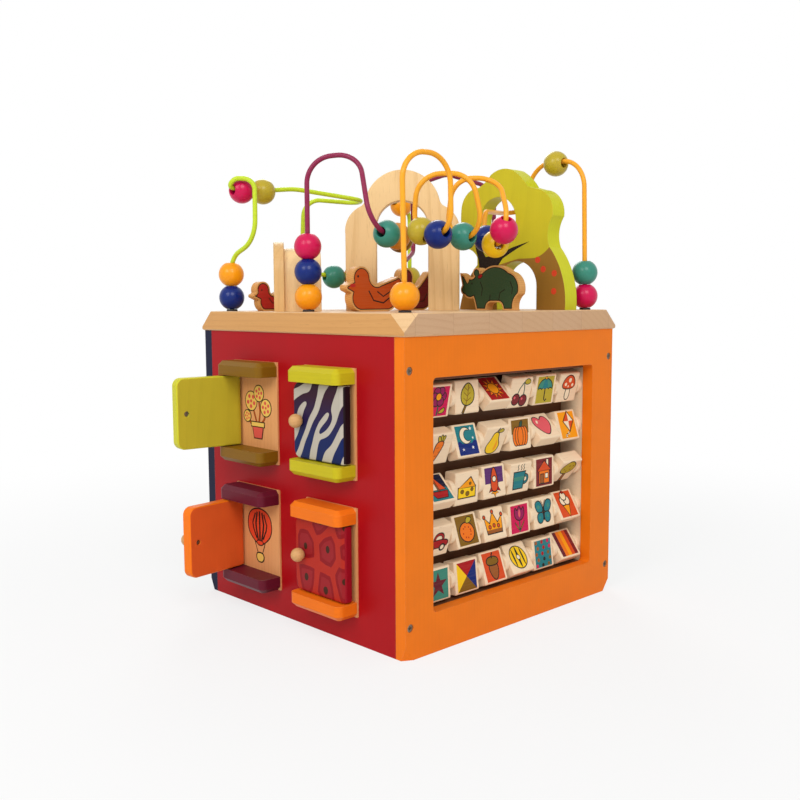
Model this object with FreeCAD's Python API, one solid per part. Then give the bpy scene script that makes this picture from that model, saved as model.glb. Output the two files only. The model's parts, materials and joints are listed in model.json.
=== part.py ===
"""Activity cube for a nursery floor: a painted wooden box with something to do on every side.

Frame: origin on the floor under the middle of the box, +Z up, millimetres.
The tile side faces -Y, the door side faces -X, the track side faces +Y, the wheel side faces +X.
A natural top board carries bent wires with wooden beads, and standing wooden figures.
"""
import math
import os

from FreeCAD import Vector
import Part

# Box
side = 375.0
panel_height = 346.5
panel_thick = 15.0
base_thick = 12.0
corner_cut_up = 15.0
corner_cut_along = 12.0
corner_cut_deep = 7.0

# Top board
top_thick = 24.5
top_overhang = 2.5
top_corner_along = 21.0
top_corner_down = 20.0
top_under_chamfer = 1.5
top_edge_chamfer = 0.75

# Tiles that turn on rods
tile_columns = 6
tile_rows = 5
tile_width = 39.7
tile_height = 38.8
tile_thick = 17.4
tile_round = 2.5
tile_end_chamfer = 0.8
tile_row_pitch = 52.2
tile_window_above = 26.8
tile_window_below = 21.4
tile_window_sill = 45.0
tile_window_lip = 1.05
tile_window_corner = 5.0
rod_diameter = 8.0
rod_setback = 12.0
rod_end_depth = 8.0
spacer_diameter = 22.0
spacer_length = 7.1
spacer_gap = 0.3
spacer_round = 1.2
running_clearance = 0.05
rack_wall = 12.0
rack_swing_gap = 1.2
rack_back = 4.0
tile_tilts = (
    (-12, 2, 46, -15, -10, -15),
    (-20, 18, -25, 5, 45, 17),
    (45, -3, 6, -10, 1, -40),
    (-18, 18, 15, 5, 8, 30),
    (3, 6, 20, 34, 7, 36),
)

# Doors
door_board_length = 88.5
door_board_height = 124.0
door_board_thick = 2.5
door_rail_height = 17.4
door_rail_depth = 27.5
door_rail_corner = 8.0
door_rail_bevel = 5.0
door_leaf_thick = 14.0
door_leaf_gap = 1.2
door_leaf_length = 78.0
door_leaf_heel = 8.6
door_leaf_corner = 10.0
door_leaf_heel_round = 5.0
door_leaf_round = 2.0
door_pin_diameter = 4.0
door_pin_in_leaf = 12.0
door_pin_in_rail = 10.0
door_axis_from_panel = 12.5
door_axis_from_end = 10.0
door_knob_diameter = 16.0
door_knob_from_edge = 12.5
door_knob_flat = 1.2
door_knob_hole = 10.0
door_screw_head = 6.0
door_screw_sink = 6.6
door_screw_sink_deep = 4.0
door_screw_head_deep = 2.0
door_screw_slot_length = 3.6
door_screw_slot = 1.0
door_screw_shank = 3.0
door_screw_length = 19.0
door_near_start = -112.5
door_far_start = 29.5
door_upper_foot = 187.0
door_lower_foot = 32.0
door_open_upper = 96.5
door_open_lower = 82.5

# Panel screws
screw_head = 8.5
screw_head_deep = 3.0
screw_sink_room = 0.25
screw_sink_deep = 4.0
screw_shank = 4.0
screw_length = 38.0
screw_hole_room = 0.15
screw_from_top = 35.5
screw_from_floor = 36.0
screw_slot_length = 5.2
screw_slot_width = 1.2
screw_slot_deep = 1.4

# Wires and beads
wire_diameter = 6.0
ferrule_diameter = 14.0
ferrule_flange = 2.5
ferrule_plug = 9.8
ferrule_depth = 16.0
ferrule_round = 0.8
bead_diameter = 32.5
bead_bore = 11.5
bead_countersink = 1.0
bead_gap = 0.3
orange_bead_rows = ((311.5, 2), (551.0, 1), (751.0, 3), (1097.0, 1))
magenta_bead_rows = ((340.0, 3),)
lime_bead_rows = ((239.0, 2), (647.0, 2), (877.0, 1))
bead_search_step = 0.5

# Standing figures
figure_thick = 12.0
figure_edge = 1.0
arch_thick = 18.0
arch_width = 146.0
arch_height = 178.0
arch_opening = 66.0
arch_opening_height = 139.0
arch_place = (-13.0, -4.0)
tree_thick = 24.0
tree_front = 107.5
tree_opening = 66.0
tree_opening_height = 63.0
tree_opening_centre = -92.5
tree_hole = 62.0
tree_hole_place = (-59.5, 116.5)
tunnel_place = (-142.3, 85.5)
tunnel_turn = 36.5
tunnel_flange_thick = 13.0
tunnel_flange_width = 80.0
tunnel_flange_height = 86.0
tunnel_body_length = 45.0
tunnel_body_width = 66.0
tunnel_body_height = 78.3
tunnel_opening_width = 42.0
tunnel_opening_height = 58.0
duck_place = (-122.0, -22.5)
hen_place = (-3.5, 17.5)
rhino_place = (52.5, -47.5)
chick_place = (-149.0, 134.5)

# Track side and wheel side
track_height = 180.0
track_length = 220.0
track_slot = 10.0
slider_neck = 9.6
slider_puck = 40.0
slider_puck_thick = 12.0
slider_back = 28.0
slider_back_thick = 4.0
slider_round = 4.0
slider_gap = 0.4
slider_rest = -60.0
wheel_diameter = 150.0
wheel_thick = 14.0
wheel_height = 180.0
wheel_round = 3.0
wheel_knob = 24.0
wheel_knob_flat = 2.5
wheel_knob_radius = 54.0
wheel_peg = 8.0
wheel_peg_in_knob = 14.4
wheel_peg_in_wheel = 12.0
wheel_axle = 12.0
wheel_axle_cap = 24.0
wheel_axle_cap_thick = 6.0
wheel_axle_cap_round = 2.0
wheel_gap = 0.5

half = side / 2.0
inside = half - panel_thick
top_under = panel_height
top_face = panel_height + top_thick
tile_pitch = tile_width + spacer_length + 2.0 * spacer_gap
tile_rack_inner = tile_columns * tile_pitch + spacer_length + 2.0 * spacer_gap
tile_rod_y = -half + panel_thick + rod_setback
tile_swing = math.hypot(tile_height, tile_thick) / 2.0
tile_bottom_rod = tile_window_sill + tile_window_below
tile_top_rod = tile_bottom_rod + (tile_rows - 1) * tile_row_pitch
tile_window_top = tile_top_rod + tile_window_above
door_leaf_height = door_board_height - 2.0 * (door_rail_height + door_leaf_gap)


def box(low, high):
    """Box between two opposite corners."""
    size = [b - a for a, b in zip(low, high)]
    return Part.makeBox(size[0], size[1], size[2], Vector(*low))


def rod(diameter, length, start, direction):
    """Round bar from a point along a direction."""
    return Part.makeCylinder(diameter / 2.0, length, Vector(*start), Vector(*direction))


def outline_face(start, steps, place):
    """Flat face inside an outline of lines and arcs.

    Each step is an end point for a line, or a middle point and an end point for an arc.
    The function place turns the outline's two numbers into a point in space.
    """
    edges = []
    here = place(*start)
    for step in steps:
        there = place(*step[-1])
        if len(step) == 1:
            edges.append(Part.LineSegment(here, there).toShape())
        else:
            edges.append(Part.Arc(here, place(*step[0]), there).toShape())
        here = there
    return Part.Face(Part.Wire(edges))


def outline_solid(start, steps, place, vector):
    """Outline pushed along a vector."""
    return outline_face(start, steps, place).extrude(vector)


def turned(start, steps, base, direction):
    """Solid turned about an axis, from an outline of distance along the axis and radius."""
    axis = Vector(*direction).normalize()
    side_way = axis.cross(Vector(0, 0, 1))
    if side_way.Length < 0.5:
        side_way = Vector(1, 0, 0)
    side_way = (side_way - axis * side_way.dot(axis)).normalize()
    base = Vector(*base)

    def place(along, radius):
        return base + axis * along + side_way * radius

    return outline_face(start, steps, place).revolve(base, axis, 360)


def ball_knob(diameter, flat_depth, hole, hole_depth, base, direction):
    """Turned ball with a flat foot and a blind hole up its axis."""
    radius = diameter / 2.0
    foot = math.sqrt(radius ** 2 - (radius - flat_depth) ** 2)
    top = diameter - flat_depth
    steps = [((0, foot),), ((top - radius, radius), (top, 0)), ((hole_depth, 0),),
             ((hole_depth, hole / 2.0),), ((0, hole / 2.0),)]
    return turned((0, hole / 2.0), steps, base, direction)


def save(name, solids):
    """Write one named piece as a STEP file."""
    shape = solids[0] if len(solids) == 1 else Part.makeCompound(solids)
    shape.exportStep("parts/%s.step" % name)


# Screws that hold the front and back panels to the side panels

def screw_places():
    """Places of the panel screws as x and z, the same on the front and on the back."""
    x = half - panel_thick / 2.0
    heights = (screw_from_floor, panel_height - screw_from_top)
    return [(sx * x, z) for sx in (-1, 1) for z in heights]


def screw_sinks(face_y, inward):
    """Sunk seats and clearance holes for the screws of one panel."""
    cuts = []
    for x, z in screw_places():
        cuts.append(rod(screw_head + 2 * screw_sink_room, screw_sink_deep, (x, face_y, z), (0, inward, 0)))
        cuts.append(rod(screw_shank + 2 * screw_hole_room, screw_length + screw_sink_deep,
                        (x, face_y, z), (0, inward, 0)))
    return cuts


def cross_slot(center, normal, across, size, width, depth):
    """Cross-shaped recess for a screwdriver, cut into a head from its face."""
    up = Vector(0, 0, 1)
    bars = []
    for long_way, short_way in ((across, up), (up, across)):
        a = center - long_way * (size / 2.0) - short_way * (width / 2.0)
        points = [a, a + long_way * size, a + long_way * size + short_way * width, a + short_way * width]
        bars.append(Part.Face(Part.makePolygon(points + [points[0]])).extrude(normal * (-depth)))
    return bars[0].fuse(bars[1])


def panel_screw(x, z, face_y, inward):
    """One wood screw with a flat round head, seated below the panel's face."""
    start = face_y + inward * (screw_sink_deep - screw_head_deep)
    head = rod(screw_head, screw_head_deep, (x, start, z), (0, inward, 0))
    shank = rod(screw_shank, screw_length, (x, start, z), (0, inward, 0))
    slot = cross_slot(Vector(x, start, z), Vector(0, -inward, 0), Vector(1, 0, 0),
                      screw_slot_length, screw_slot_width, screw_slot_deep)
    return head.fuse(shank).removeSplitter().cut(slot)


def build_panel_screws():
    screws = []
    for face_y, inward in ((-half, 1), (half, -1)):
        for x, z in screw_places():
            screws.append(panel_screw(x, z, face_y, inward))
    save("panel_screws", screws)


# Box panels

def cut_panel_feet(panel, face_y, inward):
    """Slice the lower outer corners of a front or back panel off at a slant."""
    for sx in (-1, 1):
        corner = Vector(sx * half, face_y, 0)
        along = corner + Vector(-sx * corner_cut_along, 0, 0)
        up = corner + Vector(0, 0, corner_cut_up)
        deep = corner + Vector(0, inward * corner_cut_deep, 0)
        panel = panel.cut(corner_wedge(corner, along, up, deep))
    return panel


def corner_wedge(corner, a, b, c):
    """Four-faced wedge between a corner and three points on its edges."""
    faces = []
    for p, q, r in ((corner, a, b), (corner, b, c), (corner, c, a), (a, c, b)):
        faces.append(Part.Face(Part.makePolygon([p, q, r, p])))
    return Part.makeSolid(Part.makeShell(faces))


def build_tile_panel():
    panel = box((-half, -half, 0), (half, -half + panel_thick, panel_height))
    reach = tile_rack_inner / 2.0 - tile_window_lip
    window = box((-reach, -half - 1, tile_window_sill),
                 (reach, -half + panel_thick + 1, tile_window_top))
    upright = [e for e in window.Edges if abs(e.Vertexes[0].Y - e.Vertexes[1].Y) > panel_thick]
    window = window.makeFillet(tile_window_corner, upright)
    panel = panel.cut(window)
    for hole in screw_sinks(-half, 1):
        panel = panel.cut(hole)
    save("tile_panel", [cut_panel_feet(panel, -half, 1)])


def build_track_panel():
    panel = box((-half, half - panel_thick, 0), (half, half, panel_height))
    reach = track_length / 2.0
    slot = box((-reach, half - panel_thick - 1, track_height - track_slot / 2.0),
               (reach, half + 1, track_height + track_slot / 2.0))
    for sx in (-1, 1):
        slot = slot.fuse(rod(track_slot, panel_thick + 2, (sx * reach, half - panel_thick - 1,
                                                         track_height), (0, 1, 0)))
    panel = panel.cut(slot.removeSplitter())
    for hole in screw_sinks(half, -1):
        panel = panel.cut(hole)
    save("track_panel", [cut_panel_feet(panel, half, -1)])


def side_panel(face_x, sign):
    """Side panel between the front and back panels, drilled for their screws."""
    panel = box((min(face_x, face_x + sign * panel_thick), -inside, 0),
                (max(face_x, face_x + sign * panel_thick), inside, panel_height))
    for face_y, inward in ((-half, 1), (half, -1)):
        for x, z in screw_places():
            if x * face_x > 0:
                panel = panel.cut(rod(screw_shank + 2 * screw_hole_room, screw_length + screw_sink_deep,
                                      (x, face_y, z), (0, inward, 0)))
    return panel


def build_side_panels():
    save("door_panel", [side_panel(-half, 1)])
    far = side_panel(half, -1)
    axle_hole = rod(wheel_axle, panel_thick + 2, (half + 1, 0, wheel_height), (-1, 0, 0))
    axle = rod(wheel_axle, panel_thick + wheel_gap + wheel_thick + wheel_gap,
               (inside, 0, wheel_height), (1, 0, 0))
    cap_x = half + wheel_gap + wheel_thick + wheel_gap
    cap = rod(wheel_axle_cap, wheel_axle_cap_thick, (cap_x, 0, wheel_height), (1, 0, 0))
    outer = cap_x + wheel_axle_cap_thick
    rim = [e for e in cap.Edges if len(e.Vertexes) == 1 and e.CenterOfMass.x > outer - 0.1]
    cap = cap.makeFillet(wheel_axle_cap_round, rim)
    save("far_panel", [far.cut(axle_hole), axle.fuse(cap).removeSplitter()])


def build_far_wheel():
    x = half + wheel_gap
    wheel = rod(wheel_diameter, wheel_thick, (x, 0, wheel_height), (1, 0, 0))
    wheel = wheel.makeFillet(wheel_round, [e for e in wheel.Edges if len(e.Vertexes) == 1])
    wheel = wheel.cut(rod(wheel_axle + 2 * running_clearance, wheel_thick + 2,
                          (x - 1, 0, wheel_height), (1, 0, 0)))
    peg_z = wheel_height + wheel_knob_radius
    face_x = x + wheel_thick
    wheel = wheel.cut(rod(wheel_peg, wheel_peg_in_wheel, (face_x, 0, peg_z), (-1, 0, 0)))
    knob = ball_knob(wheel_knob, wheel_knob_flat, wheel_peg, wheel_peg_in_knob, (face_x, 0, peg_z), (1, 0, 0))
    peg = rod(wheel_peg, wheel_peg_in_wheel + wheel_peg_in_knob,
              (face_x - wheel_peg_in_wheel, 0, peg_z), (1, 0, 0))
    save("far_wheel", [wheel, knob, peg])


def build_track_slider():
    neck_length = panel_thick + 2 * slider_gap
    back = rod(slider_back, slider_back_thick,
               (slider_rest, half - panel_thick - slider_gap - slider_back_thick, track_height), (0, 1, 0))
    neck = rod(slider_neck, neck_length, (slider_rest, half - panel_thick - slider_gap, track_height),
               (0, 1, 0))
    puck = rod(slider_puck, slider_puck_thick, (slider_rest, half + slider_gap, track_height), (0, 1, 0))
    outer = half + slider_gap + slider_puck_thick
    rim = [e for e in puck.Edges if len(e.Vertexes) == 1 and e.CenterOfMass.y > outer - 0.1]
    puck = puck.makeFillet(slider_round, rim)
    save("track_slider", [puck.fuse(neck).fuse(back).removeSplitter()])


def build_base_board():
    save("base_board", [box((-inside, -inside, 0), (inside, inside, base_thick))])


# Top board

def wire_ends():
    """Places on the board where the wires go in."""
    ends = []
    for bends in (orange_bends, magenta_bends, lime_bends):
        ends.append(bends[0][:2])
        ends.append(bends[-1][:2])
    return ends


def build_top_board():
    reach = half + top_overhang
    board = box((-reach, -reach, top_under), (reach, reach, top_face))
    for sx in (-1, 1):
        for sy in (-1, 1):
            corner = Vector(sx * reach, sy * reach, top_face)
            a = corner + Vector(-sx * top_corner_along, 0, 0)
            b = corner + Vector(0, -sy * top_corner_along, 0)
            c = corner + Vector(0, 0, -top_corner_down)
            board = board.cut(corner_wedge(corner, a, b, c))
    lower = [e for e in board.Edges if e.BoundBox.ZMax < top_under + 0.01]
    board = board.makeChamfer(top_under_chamfer, lower)
    upper = [e for e in board.Edges if e.BoundBox.ZMin > top_face - 0.01 and e.Length > side / 2.0]
    board = board.makeChamfer(top_edge_chamfer, upper)
    for x, y in wire_ends():
        board = board.cut(rod(ferrule_plug, ferrule_depth, (x, y, top_face), (0, 0, -1)))
    save("top_board", [board])


# Tiles, rods, spacers and their rack

def tile_column_x(column):
    return (column - (tile_columns - 1) / 2.0) * tile_pitch


def tile_row_z(row):
    return tile_top_rod - row * tile_row_pitch


def make_tile(column, row):
    """Turning picture block with a bore for its rod, tipped as it rests."""
    x = tile_column_x(column)
    z = tile_row_z(row)
    low = (x - tile_width / 2.0, tile_rod_y - tile_thick / 2.0, z - tile_height / 2.0)
    high = (x + tile_width / 2.0, tile_rod_y + tile_thick / 2.0, z + tile_height / 2.0)
    tile = box(low, high)
    long_edges = [e for e in tile.Edges if abs(e.Vertexes[0].X - e.Vertexes[1].X) > 1.0]
    tile = tile.makeFillet(tile_round, long_edges)
    ends = [f for f in tile.Faces if abs(abs(f.CenterOfMass.x - x) - tile_width / 2.0) < 0.01]
    tile = tile.makeChamfer(tile_end_chamfer, [e for f in ends for e in f.Edges])
    bore = rod(rod_diameter + 2 * running_clearance, tile_width + 2,
               (x - tile_width / 2.0 - 1, tile_rod_y, z), (1, 0, 0))
    tile = tile.cut(bore)
    tile.rotate(Vector(x, tile_rod_y, z), Vector(1, 0, 0), -tile_tilts[row][column])
    return tile


def build_tiles():
    for row in range(tile_rows):
        for column in range(tile_columns):
            save("tile_r%d_c%d" % (row + 1, column + 1), [make_tile(column, row)])


def build_tile_rods():
    length = tile_rack_inner + 2 * rod_end_depth
    rods = [rod(rod_diameter, length, (-length / 2.0, tile_rod_y, tile_row_z(row)), (1, 0, 0))
            for row in range(tile_rows)]
    save("tile_rods", rods)


def build_tile_spacers():
    spacers = []
    for row in range(tile_rows):
        for gap in range(tile_columns + 1):
            x = tile_column_x(gap) - tile_pitch / 2.0 - spacer_length / 2.0
            ring = rod(spacer_diameter, spacer_length, (x, tile_rod_y, tile_row_z(row)), (1, 0, 0))
            ring = ring.makeFillet(spacer_round, [e for e in ring.Edges if len(e.Vertexes) == 1])
            bore = rod(rod_diameter + 2 * running_clearance, spacer_length + 2,
                       (x - 1, tile_rod_y, tile_row_z(row)), (1, 0, 0))
            spacers.append(ring.cut(bore))
    save("tile_spacers", spacers)


def build_tile_rack():
    front = -half + panel_thick
    back = tile_rod_y + tile_swing + rack_swing_gap
    inner = tile_rack_inner / 2.0
    low = tile_bottom_rod - tile_swing - rack_swing_gap
    high = tile_top_rod + tile_swing + rack_swing_gap
    frame = box((-inner - rack_wall, front, low - rack_wall), (inner + rack_wall, back, high + rack_wall))
    frame = frame.cut(box((-inner, front - 1, low), (inner, back + 1, high)))
    for row in range(tile_rows):
        length = tile_rack_inner + 2 * rod_end_depth
        frame = frame.cut(rod(rod_diameter, length, (-length / 2.0, tile_rod_y, tile_row_z(row)),
                              (1, 0, 0)))
    board = box((-inner - rack_wall, back, low - rack_wall),
                (inner + rack_wall, back + rack_back, high + rack_wall))
    save("tile_rack", [frame, board])


# Doors

def door_units():
    """Name, start along Y, foot height, hinge end and resting angle of each door."""
    return (
        ("door_upper_far", door_far_start, door_upper_foot, 1, door_open_upper),
        ("door_lower_far", door_far_start, door_lower_foot, 1, door_open_lower),
        ("door_upper_near", door_near_start, door_upper_foot, -1, 0.0),
        ("door_lower_near", door_near_start, door_lower_foot, -1, 0.0),
    )


def door_axis(start, hinge_end):
    """Plan place of a door's hinge line."""
    end = start + door_board_length if hinge_end > 0 else start
    return -half - door_axis_from_panel, end - hinge_end * door_axis_from_end


def door_rail(start, foot, bevelled):
    """Rail with rounded outer corners, bevelled along the rim at a given height."""
    back = -half - door_board_thick
    rail = box((back - door_rail_depth, start, foot),
               (back, start + door_board_length, foot + door_rail_height))
    corners = [e for e in rail.Edges if abs(e.Vertexes[0].Z - e.Vertexes[1].Z) > 1.0
               and e.Vertexes[0].X < back - 1.0]
    rail = rail.makeFillet(door_rail_corner, corners)
    outer = [e for e in rail.Edges if abs(e.BoundBox.ZMin - bevelled) < 0.01
             and abs(e.BoundBox.ZMax - bevelled) < 0.01 and e.CenterOfMass.x < back - 0.5]
    return rail.makeChamfer(door_rail_bevel, outer)


def build_door_fronts():
    boards = []
    rails = []
    pins = []
    for name, start, foot, hinge_end, angle in door_units():
        boards.append(box((-half - door_board_thick, start, foot),
                          (-half, start + door_board_length, foot + door_board_height)))
        x, y = door_axis(start, hinge_end)
        leaf_low = foot + door_rail_height + door_leaf_gap
        leaf_high = leaf_low + door_leaf_height
        pin_length = door_pin_in_leaf + door_leaf_gap + door_pin_in_rail
        low_pin = rod(door_pin_diameter, pin_length, (x, y, leaf_low + door_pin_in_leaf), (0, 0, -1))
        high_pin = rod(door_pin_diameter, pin_length, (x, y, leaf_high - door_pin_in_leaf), (0, 0, 1))
        top = foot + door_board_height
        rails.append(door_rail(start, foot, foot).cut(low_pin))
        rails.append(door_rail(start, top - door_rail_height, top).cut(high_pin))
        pins += [low_pin, high_pin]
    save("door_boards", boards)
    save("door_rails", rails + pins)


def make_door(start, foot, hinge_end, angle):
    """Door leaf with knob and knob screw, closed and then turned to its resting angle."""
    x, y = door_axis(start, hinge_end)
    low = foot + door_rail_height + door_leaf_gap
    heel = y + hinge_end * door_leaf_heel
    free = y - hinge_end * door_leaf_length
    leaf = box((x - door_leaf_thick / 2.0, min(heel, free), low),
               (x + door_leaf_thick / 2.0, max(heel, free), low + door_leaf_height))
    flat = [e for e in leaf.Edges if e.BoundBox.XLength > 1.0 and abs(e.CenterOfMass.y - free) < 0.01]
    leaf = leaf.makeFillet(door_leaf_corner, flat)
    upright = [e for e in leaf.Edges if abs(e.CenterOfMass.y - heel) < 0.01
               and e.BoundBox.ZLength > door_leaf_height / 2.0]
    leaf = leaf.makeFillet(min(door_leaf_heel_round, door_leaf_thick / 2.5), upright)
    rim = [e for e in leaf.Edges if abs(e.CenterOfMass.y - heel) > door_leaf_thick
           and e.BoundBox.XLength < 0.01 and abs(e.CenterOfMass.x - x) > door_leaf_thick * 0.45]
    leaf = leaf.makeFillet(door_leaf_round, rim)
    pin_bore = door_pin_diameter + 2 * running_clearance
    for z, direction in ((low - 1, 1), (low + door_leaf_height + 1, -1)):
        leaf = leaf.cut(rod(pin_bore, door_pin_in_leaf + 2, (x, y, z), (0, 0, direction)))

    knob_y = free + hinge_end * door_knob_from_edge
    knob_z = low + door_leaf_height / 2.0
    outer = x - door_leaf_thick / 2.0
    inner = x + door_leaf_thick / 2.0
    head_x = inner - door_screw_sink_deep
    screw_hole = door_screw_shank + 2 * screw_hole_room
    leaf = leaf.cut(rod(door_screw_sink, door_screw_sink_deep, (inner, knob_y, knob_z), (-1, 0, 0)))
    leaf = leaf.cut(rod(screw_hole, door_leaf_thick + 2, (inner + 1, knob_y, knob_z), (-1, 0, 0)))
    knob = ball_knob(door_knob_diameter, door_knob_flat, screw_hole, door_knob_hole,
                     (outer, knob_y, knob_z), (-1, 0, 0))
    head_face = head_x + door_screw_head_deep
    head = rod(door_screw_head, door_screw_head_deep, (head_face, knob_y, knob_z), (-1, 0, 0))
    shank = rod(door_screw_shank, door_screw_length, (head_face, knob_y, knob_z), (-1, 0, 0))
    slot = cross_slot(Vector(head_face, knob_y, knob_z), Vector(1, 0, 0), Vector(0, 1, 0),
                      door_screw_slot_length, door_screw_slot, door_screw_slot)
    screw = head.fuse(shank).removeSplitter().cut(slot)
    pieces = [leaf, knob, screw]
    for piece in pieces:
        piece.rotate(Vector(x, y, 0), Vector(0, 0, 1), -hinge_end * angle)
    return pieces


def build_doors():
    for name, start, foot, hinge_end, angle in door_units():
        save(name, make_door(start, foot, hinge_end, angle))


# Bent wires: bend points as x, y, height above the top board and bend radius

orange_bends = [
    (-154, -154, 0, 0), (-156, -152, 172, 31), (-88, -158, 172, 32), (-86, -158, 87, 26),
    (-75, -87, 87, 26), (-78, -96, 158, 30), (-39, -146, 158, 30), (-33, -161, 86, 25),
    (-34, -101, 86, 25), (-31, -109, 156, 26), (9, -146, 156, 28), (-28, -194, 96, 24),
    (-4, -155, 77, 26), (22, -111, 90, 20), (30, -106, 121, 13), (138, -46, 129, 16),
    (160, -62, 132, 16), (165, -74, 194, 36), (157, -161, 190, 36), (162, -162, 0, 0),
]
magenta_bends = [
    (-154, 12, 0, 0), (-154, 12, 180, 32), (-114, -36, 185, 30), (-130, -74, 93, 28),
    (-64, -50, 92, 60), (-24, -13, 90, 16), (-12, -7, 62, 11), (25, 15, 76, 14),
    (43, 34, 165, 20), (103, 28, 185, 40), (186, 14, 171, 26), (158, -10, 79, 40), (158, -10, 0, 0),
]
lime_first_bend = 2.0 * bead_diameter + 4.0
lime_bends = [
    (-162, 162, 0, 0), (-162, 162, lime_first_bend, 28), (-160, 110, 89, 36), (-157, 113, 165, 14),
    (-176, 128, 166, 11), (-182, 137, 155, 6), (-126, 139, 155, 90), (-81, 131, 160, 80),
    (8, 99, 149, 17), (32, 129, 148, 17), (-41, 162, 152, 24), (-48, 161, 50, 24),
    (56, 135, 47, 24), (72, 150, 168, 20), (156, 156, 153, 26), (156, 156, 0, 0),
]


def bend_points(bends):
    """Corner points in space with their bend radii, standing on the top board."""
    return [(Vector(x, y, top_face + h), radius) for x, y, h, radius in bends]


def wire_spans(bends):
    """Straight runs and arcs of a bent wire, in order, as start, middle and end points."""
    points = bend_points(bends)
    here = points[0][0]
    spans = []
    for k in range(1, len(points) - 1):
        corner, radius = points[k]
        back = (points[k - 1][0] - corner).normalize()
        ahead = (points[k + 1][0] - corner).normalize()
        opening = back.getAngle(ahead)
        reach = radius / math.tan(opening / 2.0)
        middle_way = (back + ahead).normalize()
        centre = corner + middle_way * (radius / math.sin(opening / 2.0))
        start = corner + back * reach
        end = corner + ahead * reach
        spans.append((here, None, start))
        spans.append((start, centre - middle_way * radius, end))
        here = end
    spans.append((here, None, points[-1][0]))
    return spans


def span_edge(start, middle, end):
    """Straight run, or arc where a middle point is given."""
    if middle is None:
        return Part.LineSegment(start, end).toShape()
    return Part.Arc(start, middle, end).toShape()


def bent_wire(bends):
    """Round wire along its bends."""
    path = Part.Wire([span_edge(*span) for span in wire_spans(bends)])
    start = bend_points(bends)[0][0]
    away = (bend_points(bends)[1][0] - start).normalize()
    ring = Part.Wire([Part.makeCircle(wire_diameter / 2.0, start, away)])
    tube = path.makePipeShell([ring], True, False)
    expected = math.pi * wire_diameter ** 2 / 4.0 * path.Length
    print("wire length %.0f volume ratio %.4f" % (path.Length, tube.Volume / expected))
    return tube


def ferrule(x, y):
    """Black sleeve round a wire end: a plug in the board under a flat flange."""
    sleeve = rod(ferrule_diameter, ferrule_flange, (x, y, top_face), (0, 0, 1))
    sleeve = sleeve.fuse(rod(ferrule_plug, ferrule_depth, (x, y, top_face), (0, 0, -1)))
    sleeve = sleeve.removeSplitter()
    top = top_face + ferrule_flange
    rim = [e for e in sleeve.Edges if len(e.Vertexes) == 1 and abs(e.CenterOfMass.z - top) < 0.01]
    return sleeve.makeFillet(ferrule_round, rim)


def build_wire(name, bends):
    tube = bent_wire(bends)
    solids = []
    sleeves = []
    for x, y, h, radius in (bends[0], bends[-1]):
        stub = rod(wire_diameter, ferrule_depth, (x, y, top_face), (0, 0, -1))
        tube = tube.fuse(stub)
        sleeves.append(ferrule(x, y))
    tube = tube.removeSplitter()
    for sleeve in sleeves:
        solids.append(sleeve.cut(tube))
    save(name, [tube] + solids)


# Beads

def bead_reach():
    """Distance from a bead's centre to the mouth of its bore."""
    mouth = bead_bore / 2.0 + bead_countersink
    return math.sqrt((bead_diameter / 2.0) ** 2 - mouth ** 2)


def bead(centre, direction):
    """Turned wooden ball with a bore that is countersunk at both mouths."""
    reach = bead_reach()
    mouth = bead_bore / 2.0 + bead_countersink
    inner = reach - bead_countersink
    steps = [((0, bead_diameter / 2.0), (reach, mouth)), ((inner, bead_bore / 2.0),),
             ((-inner, bead_bore / 2.0),), ((-reach, mouth),)]
    return turned((-reach, mouth), steps, centre, direction)


def stack(bends, end, count):
    """Beads standing on a ferrule, on the straight run above it."""
    order = bends if end == 0 else bends[::-1]
    foot = bend_points(order)[0][0]
    away = (bend_points(order)[1][0] - foot).normalize()
    beads = []
    for k in range(count):
        lift = ferrule_flange + bead_gap + bead_reach() + k * (2.0 * bead_reach() + bead_gap)
        beads.append(bead(foot + away * lift, away))
    return beads


def along_wire(bends, distance):
    """Point on a wire's centre line, at a distance from its first end."""
    for start, middle, end in wire_spans(bends):
        edge = span_edge(start, middle, end)
        if distance <= edge.Length:
            return edge.valueAt(edge.getParameterByLength(distance))
        distance -= edge.Length
    return end


def hung_place(bends, distance):
    """Centre and axis of a bead that hangs on a wire, with the wire near the top of its bore."""
    reach = bead_reach() - bead_countersink
    before = along_wire(bends, distance - reach)
    here = along_wire(bends, distance)
    after = along_wire(bends, distance + reach)
    chord_middle = (before + after) * 0.5
    axis = (after - before).normalize()
    sag = (here - chord_middle).Length / 2.0
    down = Vector(0, 0, -1) + axis * axis.z
    slack = max(0.0, (bead_bore - wire_diameter) / 2.0 - sag - bead_gap)
    return (here + chord_middle) * 0.5 + down * slack, axis


def bead_row(bends, distance, count):
    """Beads side by side on a wire, the first at a distance from the wire's start."""
    centre, axis = hung_place(bends, distance)
    beads = [bead(centre, axis)]
    while len(beads) < count:
        distance += bead_search_step
        ahead, axis = hung_place(bends, distance)
        if (ahead - centre).Length >= bead_diameter + bead_gap:
            beads.append(bead(ahead, axis))
            centre = ahead
    return beads


def build_beads():
    save("corner_bead", stack(orange_bends, 0, 1))
    save("magenta_stack", stack(magenta_bends, 0, 3))
    save("right_stack", stack(orange_bends, 1, 2))
    save("far_stack", stack(lime_bends, 1, 2))
    hung = stack(lime_bends, 0, 2)
    for bends, rows in ((orange_bends, orange_bead_rows), (magenta_bends, magenta_bead_rows),
                        (lime_bends, lime_bead_rows)):
        for distance, count in rows:
            hung += bead_row(bends, distance, count)
    save("loop_beads", hung)


# Standing figures

def slanted_place(centre, lift):
    """Turn figure numbers into points of an upright plane that runs at 45 degrees."""
    s = math.sqrt(0.5)

    def place(u, h):
        return Vector(centre[0] + u * s, centre[1] - u * s, lift + h)
    return place


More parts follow.
